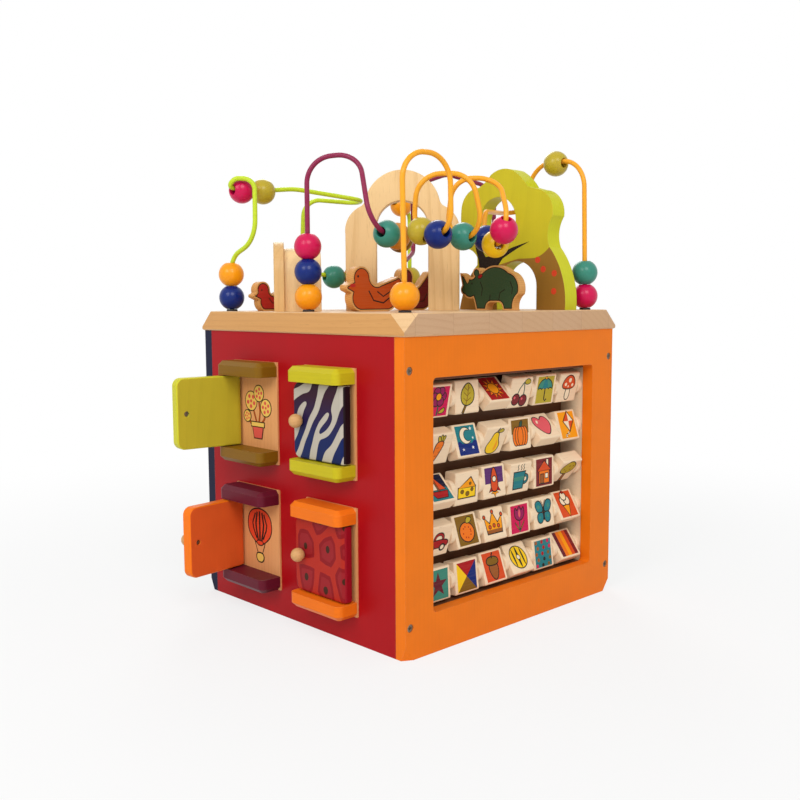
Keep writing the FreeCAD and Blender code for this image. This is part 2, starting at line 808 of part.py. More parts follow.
def build_arch():
    foot = arch_width / 2.0
    gate = arch_opening / 2.0
    spring = arch_opening_height - gate
    steps = [
        ((-foot, 97),), ((-foot + 4, 118), (-54, 132)), ((-50, 135), (-47.5, 140)),
        ((0, arch_height), (47.5, 140)), ((50, 135), (54, 132)), ((foot - 4, 118), (foot, 97)),
        ((foot, 0),), ((gate, 0),), ((gate, spring),),
        ((0, arch_opening_height), (-gate, spring)), ((-gate, 0),), ((-foot, 0),),
    ]
    s = math.sqrt(0.5)
    plate = outline_solid((-foot, 0), steps, slanted_place(arch_place, top_face),
                          Vector(s, s, 0) * arch_thick)
    save("arch", [soften(plate, Vector(s, s, 0), figure_edge)])


def soften(plate, normal, size):
    """Break the edges of both faces of a flat piece, apart from those on the board."""
    rims = []
    for face in plate.Faces:
        if abs(face.normalAt(0, 0).dot(normal)) > 0.99:
            rims += [e for e in face.Edges if e.BoundBox.ZMax > top_face + 0.01]
    return plate.makeChamfer(size, rims)


def round_topped(width, height, place, vector):
    """Flat piece with upright sides and a half-round top."""
    half_width = width / 2.0
    spring = height - half_width
    steps = [((-half_width, spring),), ((0, height), (half_width, spring)),
             ((half_width, 0),), ((-half_width, 0),)]
    return outline_solid((-half_width, 0), steps, place, vector)


def build_tunnel():
    turn = math.radians(tunnel_turn)
    along = Vector(math.cos(turn), -math.sin(turn), 0)
    across = Vector(math.sin(turn), math.cos(turn), 0)
    start = Vector(tunnel_place[0], tunnel_place[1], top_face) - along * (tunnel_flange_thick / 2.0)

    def place_at(distance):
        def place(u, h):
            return start + along * distance + across * u + Vector(0, 0, h)
        return place

    flange = round_topped(tunnel_flange_width, tunnel_flange_height, place_at(0),
                          along * tunnel_flange_thick)
    body = round_topped(tunnel_body_width, tunnel_body_height, place_at(tunnel_flange_thick),
                        along * tunnel_body_length)
    length = tunnel_flange_thick + tunnel_body_length
    bore = round_topped(tunnel_opening_width, tunnel_opening_height, place_at(-1), along * (length + 2))
    ends = []
    for solid in (flange, body):
        ends.append(soften(solid, along, figure_edge))
    save("tunnel", [ends[0].fuse(ends[1]).removeSplitter().cut(bore)])


def build_tree():
    gate = tree_opening / 2.0
    left = tree_opening_centre - gate
    right = tree_opening_centre + gate
    spring = tree_opening_height - gate
    steps = [
        ((-165, 45), (-145.5, 79)), ((-142.5, 98), (-150, 118)), ((-146, 138), (-122.5, 153)),
        ((-109.5, 157),), ((-97, 171), (-84, 180)), ((-66, 183), (-47.5, 177)),
        ((-38, 168.5), (-26.5, 162)), ((-3, 153), (5, 134)), ((3, 105), (-7.5, 82)),
        ((-17, 78), (-24.5, 70)), ((-24.5, 60),), ((-5, 35), (7.5, 0)),
        ((right, 0),), ((right, spring),),
        ((tree_opening_centre, tree_opening_height), (left, spring)), ((left, 0),), ((-170.5, 0),),
    ]

    def place(y, h):
        return Vector(tree_front, y, top_face + h)

    plate = outline_solid((-170.5, 0), steps, place, Vector(tree_thick, 0, 0))
    y, h = tree_hole_place
    hole = rod(tree_hole, tree_thick + 2, (tree_front - 1, y, top_face + h), (1, 0, 0))
    save("tree", [plate.cut(hole)])


duck_outline = [
    ((8, 8), (7, 22)), ((0, 25),), ((-2, 29), (1, 32)), ((9, 36),), ((22, 54), (37, 40)),
    ((44, 32), (54, 33)), ((80, 41),), ((89, 40), (89, 32)), ((84, 11), (67, 0)), ((21, 0),),
]
hen_outline = [
    ((6, 9), (8, 25)), ((0, 30),), ((0, 33), (3, 34)), ((9, 36),), ((18, 55), (30, 40)),
    ((36, 31), (44, 34)), ((60, 50),), ((70, 50), (72, 40)), ((68, 12), (50, 0)), ((20, 0),),
]
rhino_outline = [
    ((22, 8), (19, 16)), ((11, 15), (4, 19)), ((-2, 24), (0, 32)), ((-4, 48),), ((5, 43), (9, 36)),
    ((11, 43),), ((16, 41), (20, 43)), ((25, 54), (31, 46)), ((54, 56), (78, 48)), ((92, 38), (94, 20)),
    ((88, 14), (86, 0)), ((68, 0),), ((66, 8), (60, 10)), ((48, 10),), ((44, 8), (42, 0)), ((24, 0),),
]
chick_outline = [
    ((12, 6), (11, 14)), ((4, 17),), ((2, 20), (5, 22)), ((7, 24),), ((16, 38), (28, 27)),
    ((33, 21), (39, 23)), ((51, 29),), ((56, 26), (54, 19)), ((50, 6), (40, 0)), ((18, 0),),
]


def build_animal_cutouts():
    """Flat wooden animals, each an outline pushed to the board's thickness."""
    def across(place):
        return lambda u, h: Vector(place[0] + u, place[1], top_face + h)

    def lengthwise(place):
        return lambda u, h: Vector(place[0], place[1] - u, top_face + h)

    figures = (
        (duck_outline, across(duck_place), Vector(0, figure_thick, 0)),
        (hen_outline, across(hen_place), Vector(0, figure_thick, 0)),
        (rhino_outline, lengthwise(rhino_place), Vector(figure_thick, 0, 0)),
        (chick_outline, across(chick_place), Vector(0, figure_thick, 0)),
    )
    solids = [outline_solid(steps[-1][-1], steps, place, push) for steps, place, push in figures]
    save("animal_cutouts", solids)


os.makedirs("parts", exist_ok=True)
build_base_board()
build_tile_panel()
build_track_panel()
build_side_panels()
build_top_board()
build_panel_screws()
build_tile_rack()
build_tile_rods()
build_tile_spacers()
build_tiles()
build_door_fronts()
build_doors()
build_track_slider()
build_far_wheel()
build_wire("orange_wire", orange_bends)
build_wire("magenta_wire", magenta_bends)
build_wire("lime_wire", lime_bends)
build_beads()
build_arch()
build_tunnel()
build_tree()
build_animal_cutouts()
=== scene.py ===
"""Looks of the nursery activity cube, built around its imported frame."""
import json
import math

import bmesh
import bpy
from mathutils import Matrix, Vector


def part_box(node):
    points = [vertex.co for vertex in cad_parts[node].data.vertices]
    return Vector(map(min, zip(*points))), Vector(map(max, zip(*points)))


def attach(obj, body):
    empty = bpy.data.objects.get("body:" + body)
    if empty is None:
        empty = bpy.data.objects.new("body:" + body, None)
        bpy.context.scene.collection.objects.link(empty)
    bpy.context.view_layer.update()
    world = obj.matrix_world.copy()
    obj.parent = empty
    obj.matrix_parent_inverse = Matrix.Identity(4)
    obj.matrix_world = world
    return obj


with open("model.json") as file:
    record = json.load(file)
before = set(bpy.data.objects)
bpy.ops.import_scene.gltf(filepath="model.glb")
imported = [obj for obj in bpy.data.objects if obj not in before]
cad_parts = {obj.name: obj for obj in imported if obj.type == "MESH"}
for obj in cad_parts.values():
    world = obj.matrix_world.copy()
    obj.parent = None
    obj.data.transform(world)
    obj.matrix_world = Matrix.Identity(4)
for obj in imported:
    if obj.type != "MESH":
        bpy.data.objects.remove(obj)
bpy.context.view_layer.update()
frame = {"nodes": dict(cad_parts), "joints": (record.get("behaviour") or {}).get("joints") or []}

# Places in metres that the looks share with the object
BOARD_TOP = 0.371
TRACK_FACE = 0.1875
SIDE_FACE = 0.1876
WHEEL_FACE = 0.2021
WHEEL_HEIGHT = 0.180
TRACK_HEIGHT = 0.180
PICTURE_FACE = -0.1900
PICTURE_MIDDLE = 0.0700
LEAF_MIDDLE = -0.0680
UPPER_DOORS, LOWER_DOORS = 0.249, 0.094
LEAF_FRONT = 0.00705
KNOB_ALONG = 0.0655
SCREW_RADIUS = 0.00305
PIN_RADIUS = 0.00205
RAIL_SPLIT = 0.17
TREE_FACE, TREE_BACK = 0.1075, 0.1315
FIGURE_THICK = 0.012
TUNNEL_PLACE = Vector((-0.1423, 0.0855, BOARD_TOP))
TUNNEL_ALONG = Matrix.Rotation(math.radians(-36.5), 3, "Z") @ Vector((1, 0, 0))
FLANGE_HALF = 0.0066
RACK_BACK = -0.145
RACK_SILL, RACK_HEAD = 0.046, 0.300
SLEEVE_TOP = BOARD_TOP + 0.0026
SLEEVE_INNER = 0.0031

# How squarely a face must look a way to be picked by it, as a cosine
FACING, HEEL_FACING, FLAT_FACING = 0.9, 0.8, 0.99

# Printing: how ink lies on the wood and the size of a design's unit, in metres
INK_STEP = 0.000012
INK_LIFT = 0.00006
INK_SINK = 0.0003
TILE_UNIT = 0.000190
PICTURE_UNIT = 0.000340
MILLIMETRE = 0.001

# Painted animals: rims outside the dark edge and outside the paint, and how their outlines are moved
# inwards, in millimetres; and how far from the outline's start its solid is looked for, in metres
BARE_RIM, PAINT_RIM = 1.9, 3.1
INSET_STEP, INSET_GAP, INSET_SHARE = 1.2, 0.4, 0.97
ANIMAL_REACH = 0.035

# Scene
FLOOR_SIZE = 30.0
FLOOR_WHITE_NEAR = 0.74
CAMERA_PLACE = (-0.87378, -0.89844, 0.38518)
CAMERA_TURN, CAMERA_TILT, CAMERA_ROLL = -43.716, 84.022, -0.254
CAMERA_LENS = 43.23

# Colours as they should look, in display values from 0 to 255
COLOURS = {
    "orange": (236, 116, 22),
    "red": (168, 10, 20),
    "navy": (12, 17, 50),
    "lime": (194, 180, 28),
    "olive": (128, 90, 16),
    "plum": (98, 22, 40),
    "pink": (204, 10, 78),
    "magenta": (146, 12, 84),
    "blue": (2, 34, 112),
    "amber": (244, 154, 12),
    "teal": (56, 134, 116),
    "moss": (184, 162, 42),
    "ochre": (206, 132, 40),
    "yellow": (246, 200, 20),
    "black": (26, 20, 18),
    "cream": (240, 222, 190),
    "brown": (150, 84, 34),
    "maroon": (122, 26, 34),
    "sea": (24, 120, 128),
    "rust": (214, 74, 28),
    "forest": (40, 78, 64),
    "rose": (226, 90, 100),
    "white": (236, 232, 222),
    "violet": (88, 40, 104),
    "straw": (230, 190, 92),
    "coral": (214, 82, 72),
    "ember": (222, 70, 38),
    "bark": (28, 16, 12),
    "fern": (48, 76, 48),
    "tan": (190, 76, 18),
    "wine": (112, 26, 36),
    "brick": (184, 40, 36),
}


def linear(colour):
    """Display colour, by name or as three numbers, turned into the renderer's own."""
    values = COLOURS[colour] if isinstance(colour, str) else colour
    out = []
    for value in values:
        c = value / 255.0
        out.append(c / 12.92 if c <= 0.04045 else ((c + 0.055) / 1.055) ** 2.4)
    return tuple(out) + (1.0,)


# Shader nodes

class Number:
    """A number that a shader node gives; arithmetic on it makes more nodes."""

    def __init__(self, socket):
        self.socket = socket
        self.tree = socket.id_data

    def math(self, operation, other=0.0, clamp=False):
        inputs = {0: self, 1: other}
        return Number(add(self.tree, "Math", inputs, operation=operation, use_clamp=clamp).outputs[0])

    def __add__(self, other):
        return self.math("ADD", other)

    def __sub__(self, other):
        return self.math("SUBTRACT", other)

    def __mul__(self, other):
        return self.math("MULTIPLY", other)

    def __truediv__(self, other):
        return self.math("DIVIDE", other)

    def __rsub__(self, other):
        return Number(add(self.tree, "Math", {0: other, 1: self}, operation="SUBTRACT").outputs[0])

    def band(self, low, high, soft=False):
        """Nought below one value, one above another, and a ramp between."""
        ends = {"Value": self, "From Min": low, "From Max": high}
        kind = "SMOOTHSTEP" if soft else "LINEAR"
        return Number(add(self.tree, "MapRange", ends, interpolation_type=kind, clamp=not soft).outputs[0])


def feed(tree, value, socket):
    """Links a node's output to a socket, or sets the socket to a constant."""
    value = value.socket if isinstance(value, Number) else value
    if isinstance(value, bpy.types.NodeSocket):
        tree.links.new(value, socket)
    else:
        socket.default_value = value


def add(tree, kind, inputs=None, **props):
    """New shader node with its properties set and its inputs given or linked."""
    node = tree.nodes.new("ShaderNode" + kind)
    for name, value in props.items():
        setattr(node, name, value)
    for name, value in (inputs or {}).items():
        feed(tree, value, node.inputs[name])
    return node


def blend(tree, factor, a, b, mode="MIX"):
    """Mix of two colours; a name or three numbers mean a display colour."""
    a, b = [linear(c) if isinstance(c, (str, tuple)) else c for c in (a, b)]
    return add(tree, "Mix", {0: factor, 6: a, 7: b}, data_type="RGBA", blend_type=mode).outputs[2]


def shaded(tree, colour, tone):
    """Colour made lighter or darker by a number near one."""
    shade = add(tree, "CombineColor", {0: tone, 1: tone, 2: tone}).outputs[0]
    return blend(tree, 1.0, colour, shade, "MULTIPLY")


def new_material(name):
    material = bpy.data.materials.new(name)
    material.use_nodes = True
    tree = material.node_tree
    tree.nodes.clear()
    shader = add(tree, "BsdfPrincipled")
    output = add(tree, "OutputMaterial")
    tree.links.new(shader.outputs[0], output.inputs[0])
    return material, tree, shader


def surface(fill):
    """Turns a function that fills a shader into one that gives a material of a given name."""
    def make(name, *values, **options):
        material, tree, shader = new_material(name)
        fill(tree, shader, *values, **options)
        return material
    return make


def set_surface(tree, shader, colour, roughness, normal=None, specular=0.5, coat=0.0, coat_roughness=0.03):
    """Feeds the shader's patterned sockets and sets its constant ones."""
    feed(tree, colour, shader.inputs["Base Color"])
    feed(tree, roughness, shader.inputs["Roughness"])
    if normal:
        feed(tree, normal, shader.inputs["Normal"])
    shader.inputs["Specular IOR Level"].default_value = specular
    shader.inputs["Coat Weight"].default_value = coat
    shader.inputs["Coat Roughness"].default_value = coat_roughness


def object_place(tree):
    return add(tree, "TexCoord").outputs["Object"]


def split(tree, vector):
    """The three numbers of a vector."""
    return [Number(out) for out in add(tree, "SeparateXYZ", {0: vector}).outputs]


GRAIN_TURN = {"X": (0, 1, 2), "Y": (1, 2, 0), "Z": (2, 0, 1)}


def grain_space(tree, grain, shift):
    """Object coordinates with the first number along the grain."""
    parts = split(tree, object_place(tree))
    order = GRAIN_TURN[grain]
    turned = add(tree, "CombineXYZ", {i: parts[order[i]] for i in range(3)}).outputs[0]
    return add(tree, "VectorMath", {0: turned, 1: shift}, operation="ADD").outputs[0]


def noise(tree, space, scale, detail=2.0, rough=0.5):
    """Noise at one scale, or at three that stretch it."""
    if isinstance(scale, tuple):
        space = add(tree, "VectorMath", {0: space, 1: scale}, operation="MULTIPLY").outputs[0]
        scale = 1.0
    inputs = {"Vector": space, "Scale": scale, "Detail": detail, "Roughness": rough}
    return Number(add(tree, "TexNoise", inputs).outputs[0])


def soft_edges(tree, radius):
    return add(tree, "Bevel", {"Radius": radius}, samples=4).outputs[0]


def bumped(tree, height, strength, distance, radius=0.0):
    """Normal with a bump, over edges that are rounded off if a radius is given."""
    bump = add(tree, "Bump", {"Strength": strength, "Distance": distance, "Height": height})
    if radius:
        tree.links.new(soft_edges(tree, radius), bump.inputs["Normal"])
    return bump.outputs[0]


def wood_pattern(tree, grain, shift, ring, warp):
    """Growth rings and fibres of a softwood board: ring factor, fibre factor, fleck factor."""
    space = grain_space(tree, grain, shift)
    drift = (noise(tree, space, (2.2, 9.0, 9.0), 3.0) - 0.5) * warp
    along, y, z = split(tree, space)
    radius = (y * y + z * z).math("SQRT")
    saw = ((radius + along * 0.02 + drift) / ring).math("FRACT")
    late = saw.band(0.45, 0.92, True) * saw.band(1.0, 0.94)
    fibre = noise(tree, space, (14.0, 620.0, 620.0), 3.0, 0.6)
    fleck = noise(tree, space, (70.0, 1400.0, 1400.0), 1.0)
    return late, fibre, fleck.band(0.66, 0.74)


@surface
def wood(tree, shader, light, dark, grain="Z", shift=(0.3, 0.12, 0.07), ring=0.0042, warp=0.010,
         contrast=0.55, stave=0.0, grain_and_shade_tints=()):
    """Bare softwood under a thin clear lacquer; a stave width glues it up from strips."""
    if stave:
        count = split(tree, grain_space(tree, grain, (0, 0, 0)))[2] / stave
        strip = add(tree, "TexWhiteNoise", {"W": count.math("FLOOR")}, noise_dimensions="1D").outputs
        shift = add(tree, "VectorMath", {0: strip["Color"], 1: (1.0, 0.16, 0.16), 2: shift},
                    operation="MULTIPLY_ADD").outputs[0]
        joint = (count.math("FRACT") - 0.5).math("ABSOLUTE")
    late, fibre, fleck = wood_pattern(tree, grain, shift, ring, warp)
    patch = noise(tree, grain_space(tree, grain, shift), (2.0, 16.0, 16.0))
    tone = late * contrast + (fibre - 0.5) * 0.75
    tone = tone.math("ADD", (patch - 0.45) * 0.55, clamp=True)
    colour = blend(tree, tone, light, dark)
    colour = blend(tree, fleck * 0.22, colour, (120, 74, 36))
    # Tints by the way a face looks: on the top board, its end grain and long grain; on the tunnel, painted
    # shade on its upward faces
    for axis, grain_and_shade_tint in grain_and_shade_tints:
        facing = split(tree, add(tree, "NewGeometry").outputs["True Normal"])[axis]
        tinted = blend(tree, 1.0, colour, grain_and_shade_tint, "MULTIPLY")
        colour = blend(tree, facing.math("ABSOLUTE").band(0.80, 0.95), colour, tinted)
    if stave:
        colour = blend(tree, Number(strip["Value"]) * 0.30, colour, dark)
        colour = blend(tree, joint.band(0.493, 0.498) * 0.30, colour, (128, 84, 46))
    normal = bumped(tree, late * 0.5 + fibre, 0.10, 0.0004, 0.0006)
    set_surface(tree, shader, colour, fibre * 0.16 + 0.34, normal,
                specular=0.20, coat=0.04, coat_roughness=0.30)


PAINT_SHIFT = (0.1, 0.2, 0.15)
PAINT_RADIUS = 0.0008


def paint_finish(tree, shader, colour, grain="Z", stain=0.06):
    """Satin paint on wood: faint grain under it, brush mottling, rounded and slightly worn edges."""
    late, fibre, fleck = wood_pattern(tree, grain, PAINT_SHIFT, 0.0045, 0.010)
    space = grain_space(tree, grain, PAINT_SHIFT)
    mottle = noise(tree, space, 26.0, 4.0)
    tone = (mottle - 0.5) * 0.16 + (fibre - 0.5) * stain - late * (stain * 0.35) + 1.0
    colour = shaded(tree, colour, tone)
    flat = add(tree, "NewGeometry").outputs["Normal"]
    edge = Number(add(tree, "VectorMath", {0: flat, 1: soft_edges(tree, PAINT_RADIUS * 1.4)},
                      operation="DOT_PRODUCT").outputs["Value"])
    wear = edge.band(0.97, 0.80) * noise(tree, space, 240.0, 3.0).band(0.35, 0.75)
    pale = blend(tree, 0.35, colour, "cream")
    colour = blend(tree, wear * 0.6, colour, pale)
    height = fibre * (0.5 + stain) + noise(tree, space, 900.0) * 0.35
    normal = bumped(tree, height, 0.08, 0.0003, PAINT_RADIUS)
    set_surface(tree, shader, colour, mottle * 0.14 + 0.35, normal,
                specular=0.12, coat=0.03, coat_roughness=0.22)


painted = surface(paint_finish)


@surface
def lacquered(tree, shader, colour):
    """Glossy lacquer on a turned ball: the wood shows as faint streaks."""
    space = grain_space(tree, "Z", (0.2, 0.1, 0.3))
    streak = noise(tree, space, (60.0, 500.0, 500.0), 3.0)
    mottle = noise(tree, space, 90.0, 3.0)
    colour = shaded(tree, colour, (streak - 0.5) * 0.10 + (mottle - 0.5) * 0.16 + 1.0)
    normal = bumped(tree, streak, 0.05, 0.0002, 0.0008)
    set_surface(tree, shader, colour, mottle * 0.10 + 0.28, normal,
                specular=0.16, coat=0.24, coat_roughness=0.20)


@surface
def coated_wire(tree, shader, colour):
    """Dipped coating on steel wire, a little uneven."""
    mottle = noise(tree, object_place(tree), 160.0, 3.0)
    colour = blend(tree, mottle * 0.06, colour, "cream")
    set_surface(tree, shader, colour, mottle * 0.16 + 0.26, specular=0.14, coat=0.12, coat_roughness=0.20)


@surface
def moulded_black(tree, shader):
    grit = noise(tree, object_place(tree), 1400.0, 3.0)
    colour = blend(tree, grit, (18, 16, 16), (40, 37, 36))
    set_surface(tree, shader, colour, 0.5, bumped(tree, grit, 0.15, 0.0002))


@surface
def plated_steel(tree, shader):
    """Plated screw head with fine turning marks; its own grey is set darker, as painted shade of the recesses
    the screws sit in.
    """
    scratch = noise(tree, object_place(tree), (900.0, 900.0, 3200.0), 3.0)
    colour = blend(tree, scratch, (92, 78, 66), (168, 150, 130))
    set_surface(tree, shader, colour, scratch * 0.25 + 0.28, bumped(tree, scratch, 0.12, 0.0002, 0.0003))
    shader.inputs["Metallic"].default_value = 1.0


def leaf_place(tree, height):
    """Places on a near door as seen from in front: to the right of its middle and up from it."""
    x, y, z = split(tree, object_place(tree))
    return LEAF_MIDDLE - y, z - height


STRIPE_FORKS = ((-0.020, 0.022, 1.0), (0.004, -0.012, -1.0), (0.020, 0.010, 1.0))


@surface
def striped_leaf(tree, shader, height):
    """Dark wavy stripes that fork, on a pale ground, climbing to the right."""
    right, up = leaf_place(tree, height)
    flat = add(tree, "CombineXYZ", {0: right, 1: up}).outputs[0]
    turns = (noise(tree, flat, 18.0, 1.0) - 0.5) * 1.5 + (right * 36.0 + up * -26.0)
    for x, z, way in STRIPE_FORKS:
        turns += (up - z).math("ARCTAN2", right - x) * (way / (2.0 * math.pi))
    stripe = turns.math("PINGPONG", 0.5).band(0.262, 0.276)
    dark = blend(tree, up.band(-0.020, 0.030), (16, 32, 84), (50, 16, 38))
    colour = blend(tree, stripe, dark, (184, 176, 162))
    paint_finish(tree, shader, colour, stain=0.05)


@surface
def blotched_leaf(tree, shader, height):
    """Dark red blotches with brown hearts on an orange-red ground."""
    right, up = leaf_place(tree, height)
    flat = add(tree, "CombineXYZ", {0: right, 1: up * 0.80}).outputs[0]
    bend = noise(tree, flat, 60.0, 1.0)
    cells = {"Vector": flat, "Scale": 31.0, "Randomness": 0.55}
    edge, heart = [Number(add(tree, "TexVoronoi", cells, voronoi_dimensions="2D",
                              feature=feature).outputs[0]) for feature in ("DISTANCE_TO_EDGE", "F1")]
    depth = edge - heart * 0.34 + (bend - 0.5) * 0.12
    colour = blend(tree, depth.band(-0.030, -0.018), (176, 42, 28), (138, 16, 24))
    colour = blend(tree, depth.band(0.12, 0.135), colour, (150, 30, 36))
    core = heart + bend * 0.12
    colour = blend(tree, core.band(0.175, 0.160), colour, (62, 32, 16))
    paint_finish(tree, shader, colour, stain=0.05)


@surface
def painted_tree(tree, shader):
    """Green figure whose broad faces are olive under the crown."""
    x, y, z = split(tree, object_place(tree))
    facing = split(tree, add(tree, "NewGeometry").outputs["True Normal"])[0]
    broad = facing.math("ABSOLUTE").band(0.45, 0.55)
    lobe = (-0.118 - y).math("MAXIMUM", 0.0)
    fall = (y + 0.095).math("MAXIMUM", 0.0) * 0.21
    line = lobe * lobe * 17.2 + (BOARD_TOP + 0.066) - fall
    under = (line - z).band(-0.0003, 0.0003)
    green = blend(tree, broad, (204, 204, 40), (204, 192, 42))
    colour = blend(tree, under * broad, green, (158, 114, 46))
    paint_finish(tree, shader, colour, stain=0.10)


SECTORS = ("amber", "teal", "pink", "lime", "blue", "orange")
SECTOR_EDGE = 0.004


@surface
def painted_sectors(tree, shader, middle_z):
    """Six coloured sectors about an axis along X at a given height."""
    x, y, z = split(tree, object_place(tree))
    count = (z - middle_z).math("ARCTAN2", y) * (3.0 / math.pi) + 3.0
    colour = SECTORS[0]
    for k, sector in enumerate(SECTORS[1:], 1):
        colour = blend(tree, count.band(k - SECTOR_EDGE, k + SECTOR_EDGE), colour, sector)
    paint_finish(tree, shader, colour)


@surface
def printed(tree, shader, colour):
    """Printed ink that lets a little of the wood's grain through."""
    space = object_place(tree)
    fibre = noise(tree, space, (40.0, 700.0, 700.0), 3.0)
    mottle = noise(tree, space, 300.0, 3.0)
    shade = blend(tree, fibre.band(0.35, 0.80) * 0.035, colour, "cream")
    set_surface(tree, shader, shade, mottle * 0.16 + 0.38, bumped(tree, fibre, 0.02, 0.0002),
                specular=0.12)


INKS = {}


def ink(colour):
    if colour not in INKS:
        INKS[colour] = printed("ink_" + colour, colour)
    return INKS[colour]


# Camera, floor and light

def put(name, data):
    """New object in the scene."""
    thing = bpy.data.objects.new(name, data)
    bpy.context.scene.collection.objects.link(thing)
    return thing


def make_camera():
    data = bpy.data.cameras.new("camera")
    data.sensor_width = 36.0
    data.lens = CAMERA_LENS
    data.clip_start = 0.05
    data.clip_end = 50.0
    camera = put("camera", data)
    turn = Matrix()
    for angle, axis in ((CAMERA_TURN, "Z"), (CAMERA_TILT, "X"), (CAMERA_ROLL, "Z")):
        turn = turn @ Matrix.Rotation(math.radians(angle), 4, axis)
    camera.matrix_world = Matrix.Translation(CAMERA_PLACE) @ turn
    bpy.context.scene.camera = camera


def seen_directly(tree):
    """One for rays from the camera, from gloss and through glass."""
    path = add(tree, "LightPath").outputs
    both = Number(path["Is Camera Ray"]).math("MAXIMUM", path["Is Glossy Ray"])
    return both.math("MAXIMUM", path["Is Transmission Ray"])


def make_floor():
    """Pale floor that keeps the object's shadow and is as white as the world behind it."""
    material, tree, shader = new_material("floor")
    space = object_place(tree)
    colour = blend(tree, noise(tree, space, 3.0), (228, 228, 227), (232, 232, 231))
    set_surface(tree, shader, colour, 0.9, specular=0.1)
    white = add(tree, "Emission", {"Color": (1, 1, 1, 1), "Strength": 1.0})
    away = Number(add(tree, "VectorMath", {0: space}, operation="LENGTH").outputs["Value"])
    share = away.band(0.35, 1.3, True) * (1.0 - FLOOR_WHITE_NEAR) + FLOOR_WHITE_NEAR
    share = seen_directly(tree) * share
    mix = add(tree, "MixShader", {0: share, 1: shader.outputs[0], 2: white.outputs[0]})
    tree.links.new(mix.outputs[0], tree.nodes["Material Output"].inputs[0])
    mesh = bpy.data.meshes.new("floor")
    corners = [(x * FLOOR_SIZE, y * FLOOR_SIZE, 0) for x, y in ((-1, -1), (1, -1), (1, 1), (-1, 1))]
    mesh.from_pydata(corners, [], [(0, 1, 2, 3)])
    mesh.materials.append(material)
    put("floor", mesh)


def area_light(name, place, aim, size, power):
    data = bpy.data.lights.new(name, "AREA")
    data.shape = "DISK"
    data.size = size
    data.energy = power
    light = put(name, data)
    light.location = place
    light.rotation_euler = (Vector(aim) - Vector(place)).to_track_quat("-Z", "Y").to_euler()


def make_light():
    world = bpy.data.worlds.new("studio")
    world.use_nodes = True
    tree = world.node_tree
    tree.nodes.clear()
    lamp = add(tree, "Background", {"Color": (1, 1, 1, 1), "Strength": 0.56})
    white = add(tree, "Background", {"Color": (1, 1, 1, 1), "Strength": 1.0})
    mix = add(tree, "MixShader", {0: seen_directly(tree), 1: lamp.outputs[0], 2: white.outputs[0]})
    output = add(tree, "OutputWorld")
    tree.links.new(mix.outputs[0], output.inputs[0])
    bpy.context.scene.world = world
    middle = (0.0, 0.0, 0.25)
    area_light("key", (-1.5, -2.5, 2.4), middle, 1.6, 46.0)
    area_light("fill", (-2.7, -0.5, 1.9), middle, 1.4, 30.0)
    area_light("back", (1.6, 2.2, 2.2), middle, 1.6, 26.0)


make_camera()
make_floor()
make_light()
bpy.context.scene.view_settings.view_transform = "Standard"


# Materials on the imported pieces

def fill_slots(node, materials, picks):
    """Gives a node its materials and each of its faces the number of one."""
    mesh = frame["nodes"][node].data
    mesh.materials.clear()
    for material in materials:
        mesh.materials.append(material)
    mesh.polygons.foreach_set("material_index", picks)
    mesh.update()


def dress(node, materials, rule=None):
    """Gives a node its materials; the rule picks one by a face's centre and normal."""
    faces = frame["nodes"][node].data.polygons
    fill_slots(node, materials, [rule(face.center, face.normal) if rule else 0 for face in faces])


def clumps(node):
    """Separate solids of a node, each as its face numbers and the middle of its box."""
    mesh = frame["nodes"][node].data
    links = {}

    def root(key):
        while links[key] != key:
            links[key] = links[links[key]]
            key = links[key]
        return key

    keys = [tuple(round(c * 1e5) for c in v.co) for v in mesh.vertices]
    for key in keys:
        links.setdefault(key, key)
    for face in mesh.polygons:
        first = root(keys[face.vertices[0]])
        for v in face.vertices[1:]:
            links[root(keys[v])] = first
    groups = {}
    for face in mesh.polygons:
        groups.setdefault(root(keys[face.vertices[0]]), []).append(face.index)
    out = []
    for faces in groups.values():
        points = [mesh.vertices[v].co for f in faces for v in mesh.polygons[f].vertices]
        out.append((faces, Vector([(min(axis) + max(axis)) / 2.0 for axis in zip(*points)])))
    return out


def dress_clumps(node, materials, pick):
    """Gives each solid of a node the material that pick chooses from its middle."""
    picks = [0] * len(frame["nodes"][node].data.polygons)
    for faces, middle in clumps(node):
        for face in faces:
            picks[face] = pick(middle)
    fill_slots(node, materials, picks)


# Wood, with the grain along each board's length

pine_top = wood("pine_top", (226, 188, 140), (204, 158, 108), grain="Y", ring=0.0075, contrast=0.24,
                stave=0.058, grain_and_shade_tints=((0, (238, 212, 172)), (1, (228, 222, 232))))
pine_x = wood("pine_x", (236, 200, 152), (212, 164, 112), grain="X")
pine_z = wood("pine_z", (238, 202, 146), (212, 167, 105), ring=0.0062, warp=0.006, contrast=0.34)
pine_pale = wood("pine_pale", (242, 216, 182), (231, 200, 162), grain="X", contrast=0.16)
pine_knob = wood("pine_knob", (210, 160, 104), (190, 136, 82), grain="X", ring=0.0035, contrast=0.30)
# The tunnel's upward faces are tinted greyer and darker: painted shade
pine_tunnel = wood("pine_tunnel", (250, 217, 160), (232, 194, 134), ring=0.0070, warp=0.006, contrast=0.26,
                   grain_and_shade_tints=((2, (228, 222, 206)),))
# Darker copy of the tunnel's wood for its flange: painted shade
pine_flange = wood("pine_flange", (218, 176, 116), (196, 152, 94), ring=0.0070, warp=0.006, contrast=0.26)
picture_board = wood("picture_board", (222, 158, 102), (200, 132, 80), ring=0.0060, warp=0.008, contrast=0.22)
cutout_ply = wood("cutout_ply", (222, 166, 98), (176, 118, 62), grain="X", ring=0.0022, contrast=0.4)
# Screw and pin steel, darker than bare plating: painted shade of their recesses
shade_darkened_steel = plated_steel("screw_steel")


def rack_rule(centre, normal):
    """Tells the rack's back, head and sill, dark brown as painted shade, from its pale cheeks."""
    inside = centre.y > RACK_BACK or not RACK_SILL < centre.z < RACK_HEAD
    return int(abs(normal.z) > FACING or (abs(normal.y) > FACING and inside))


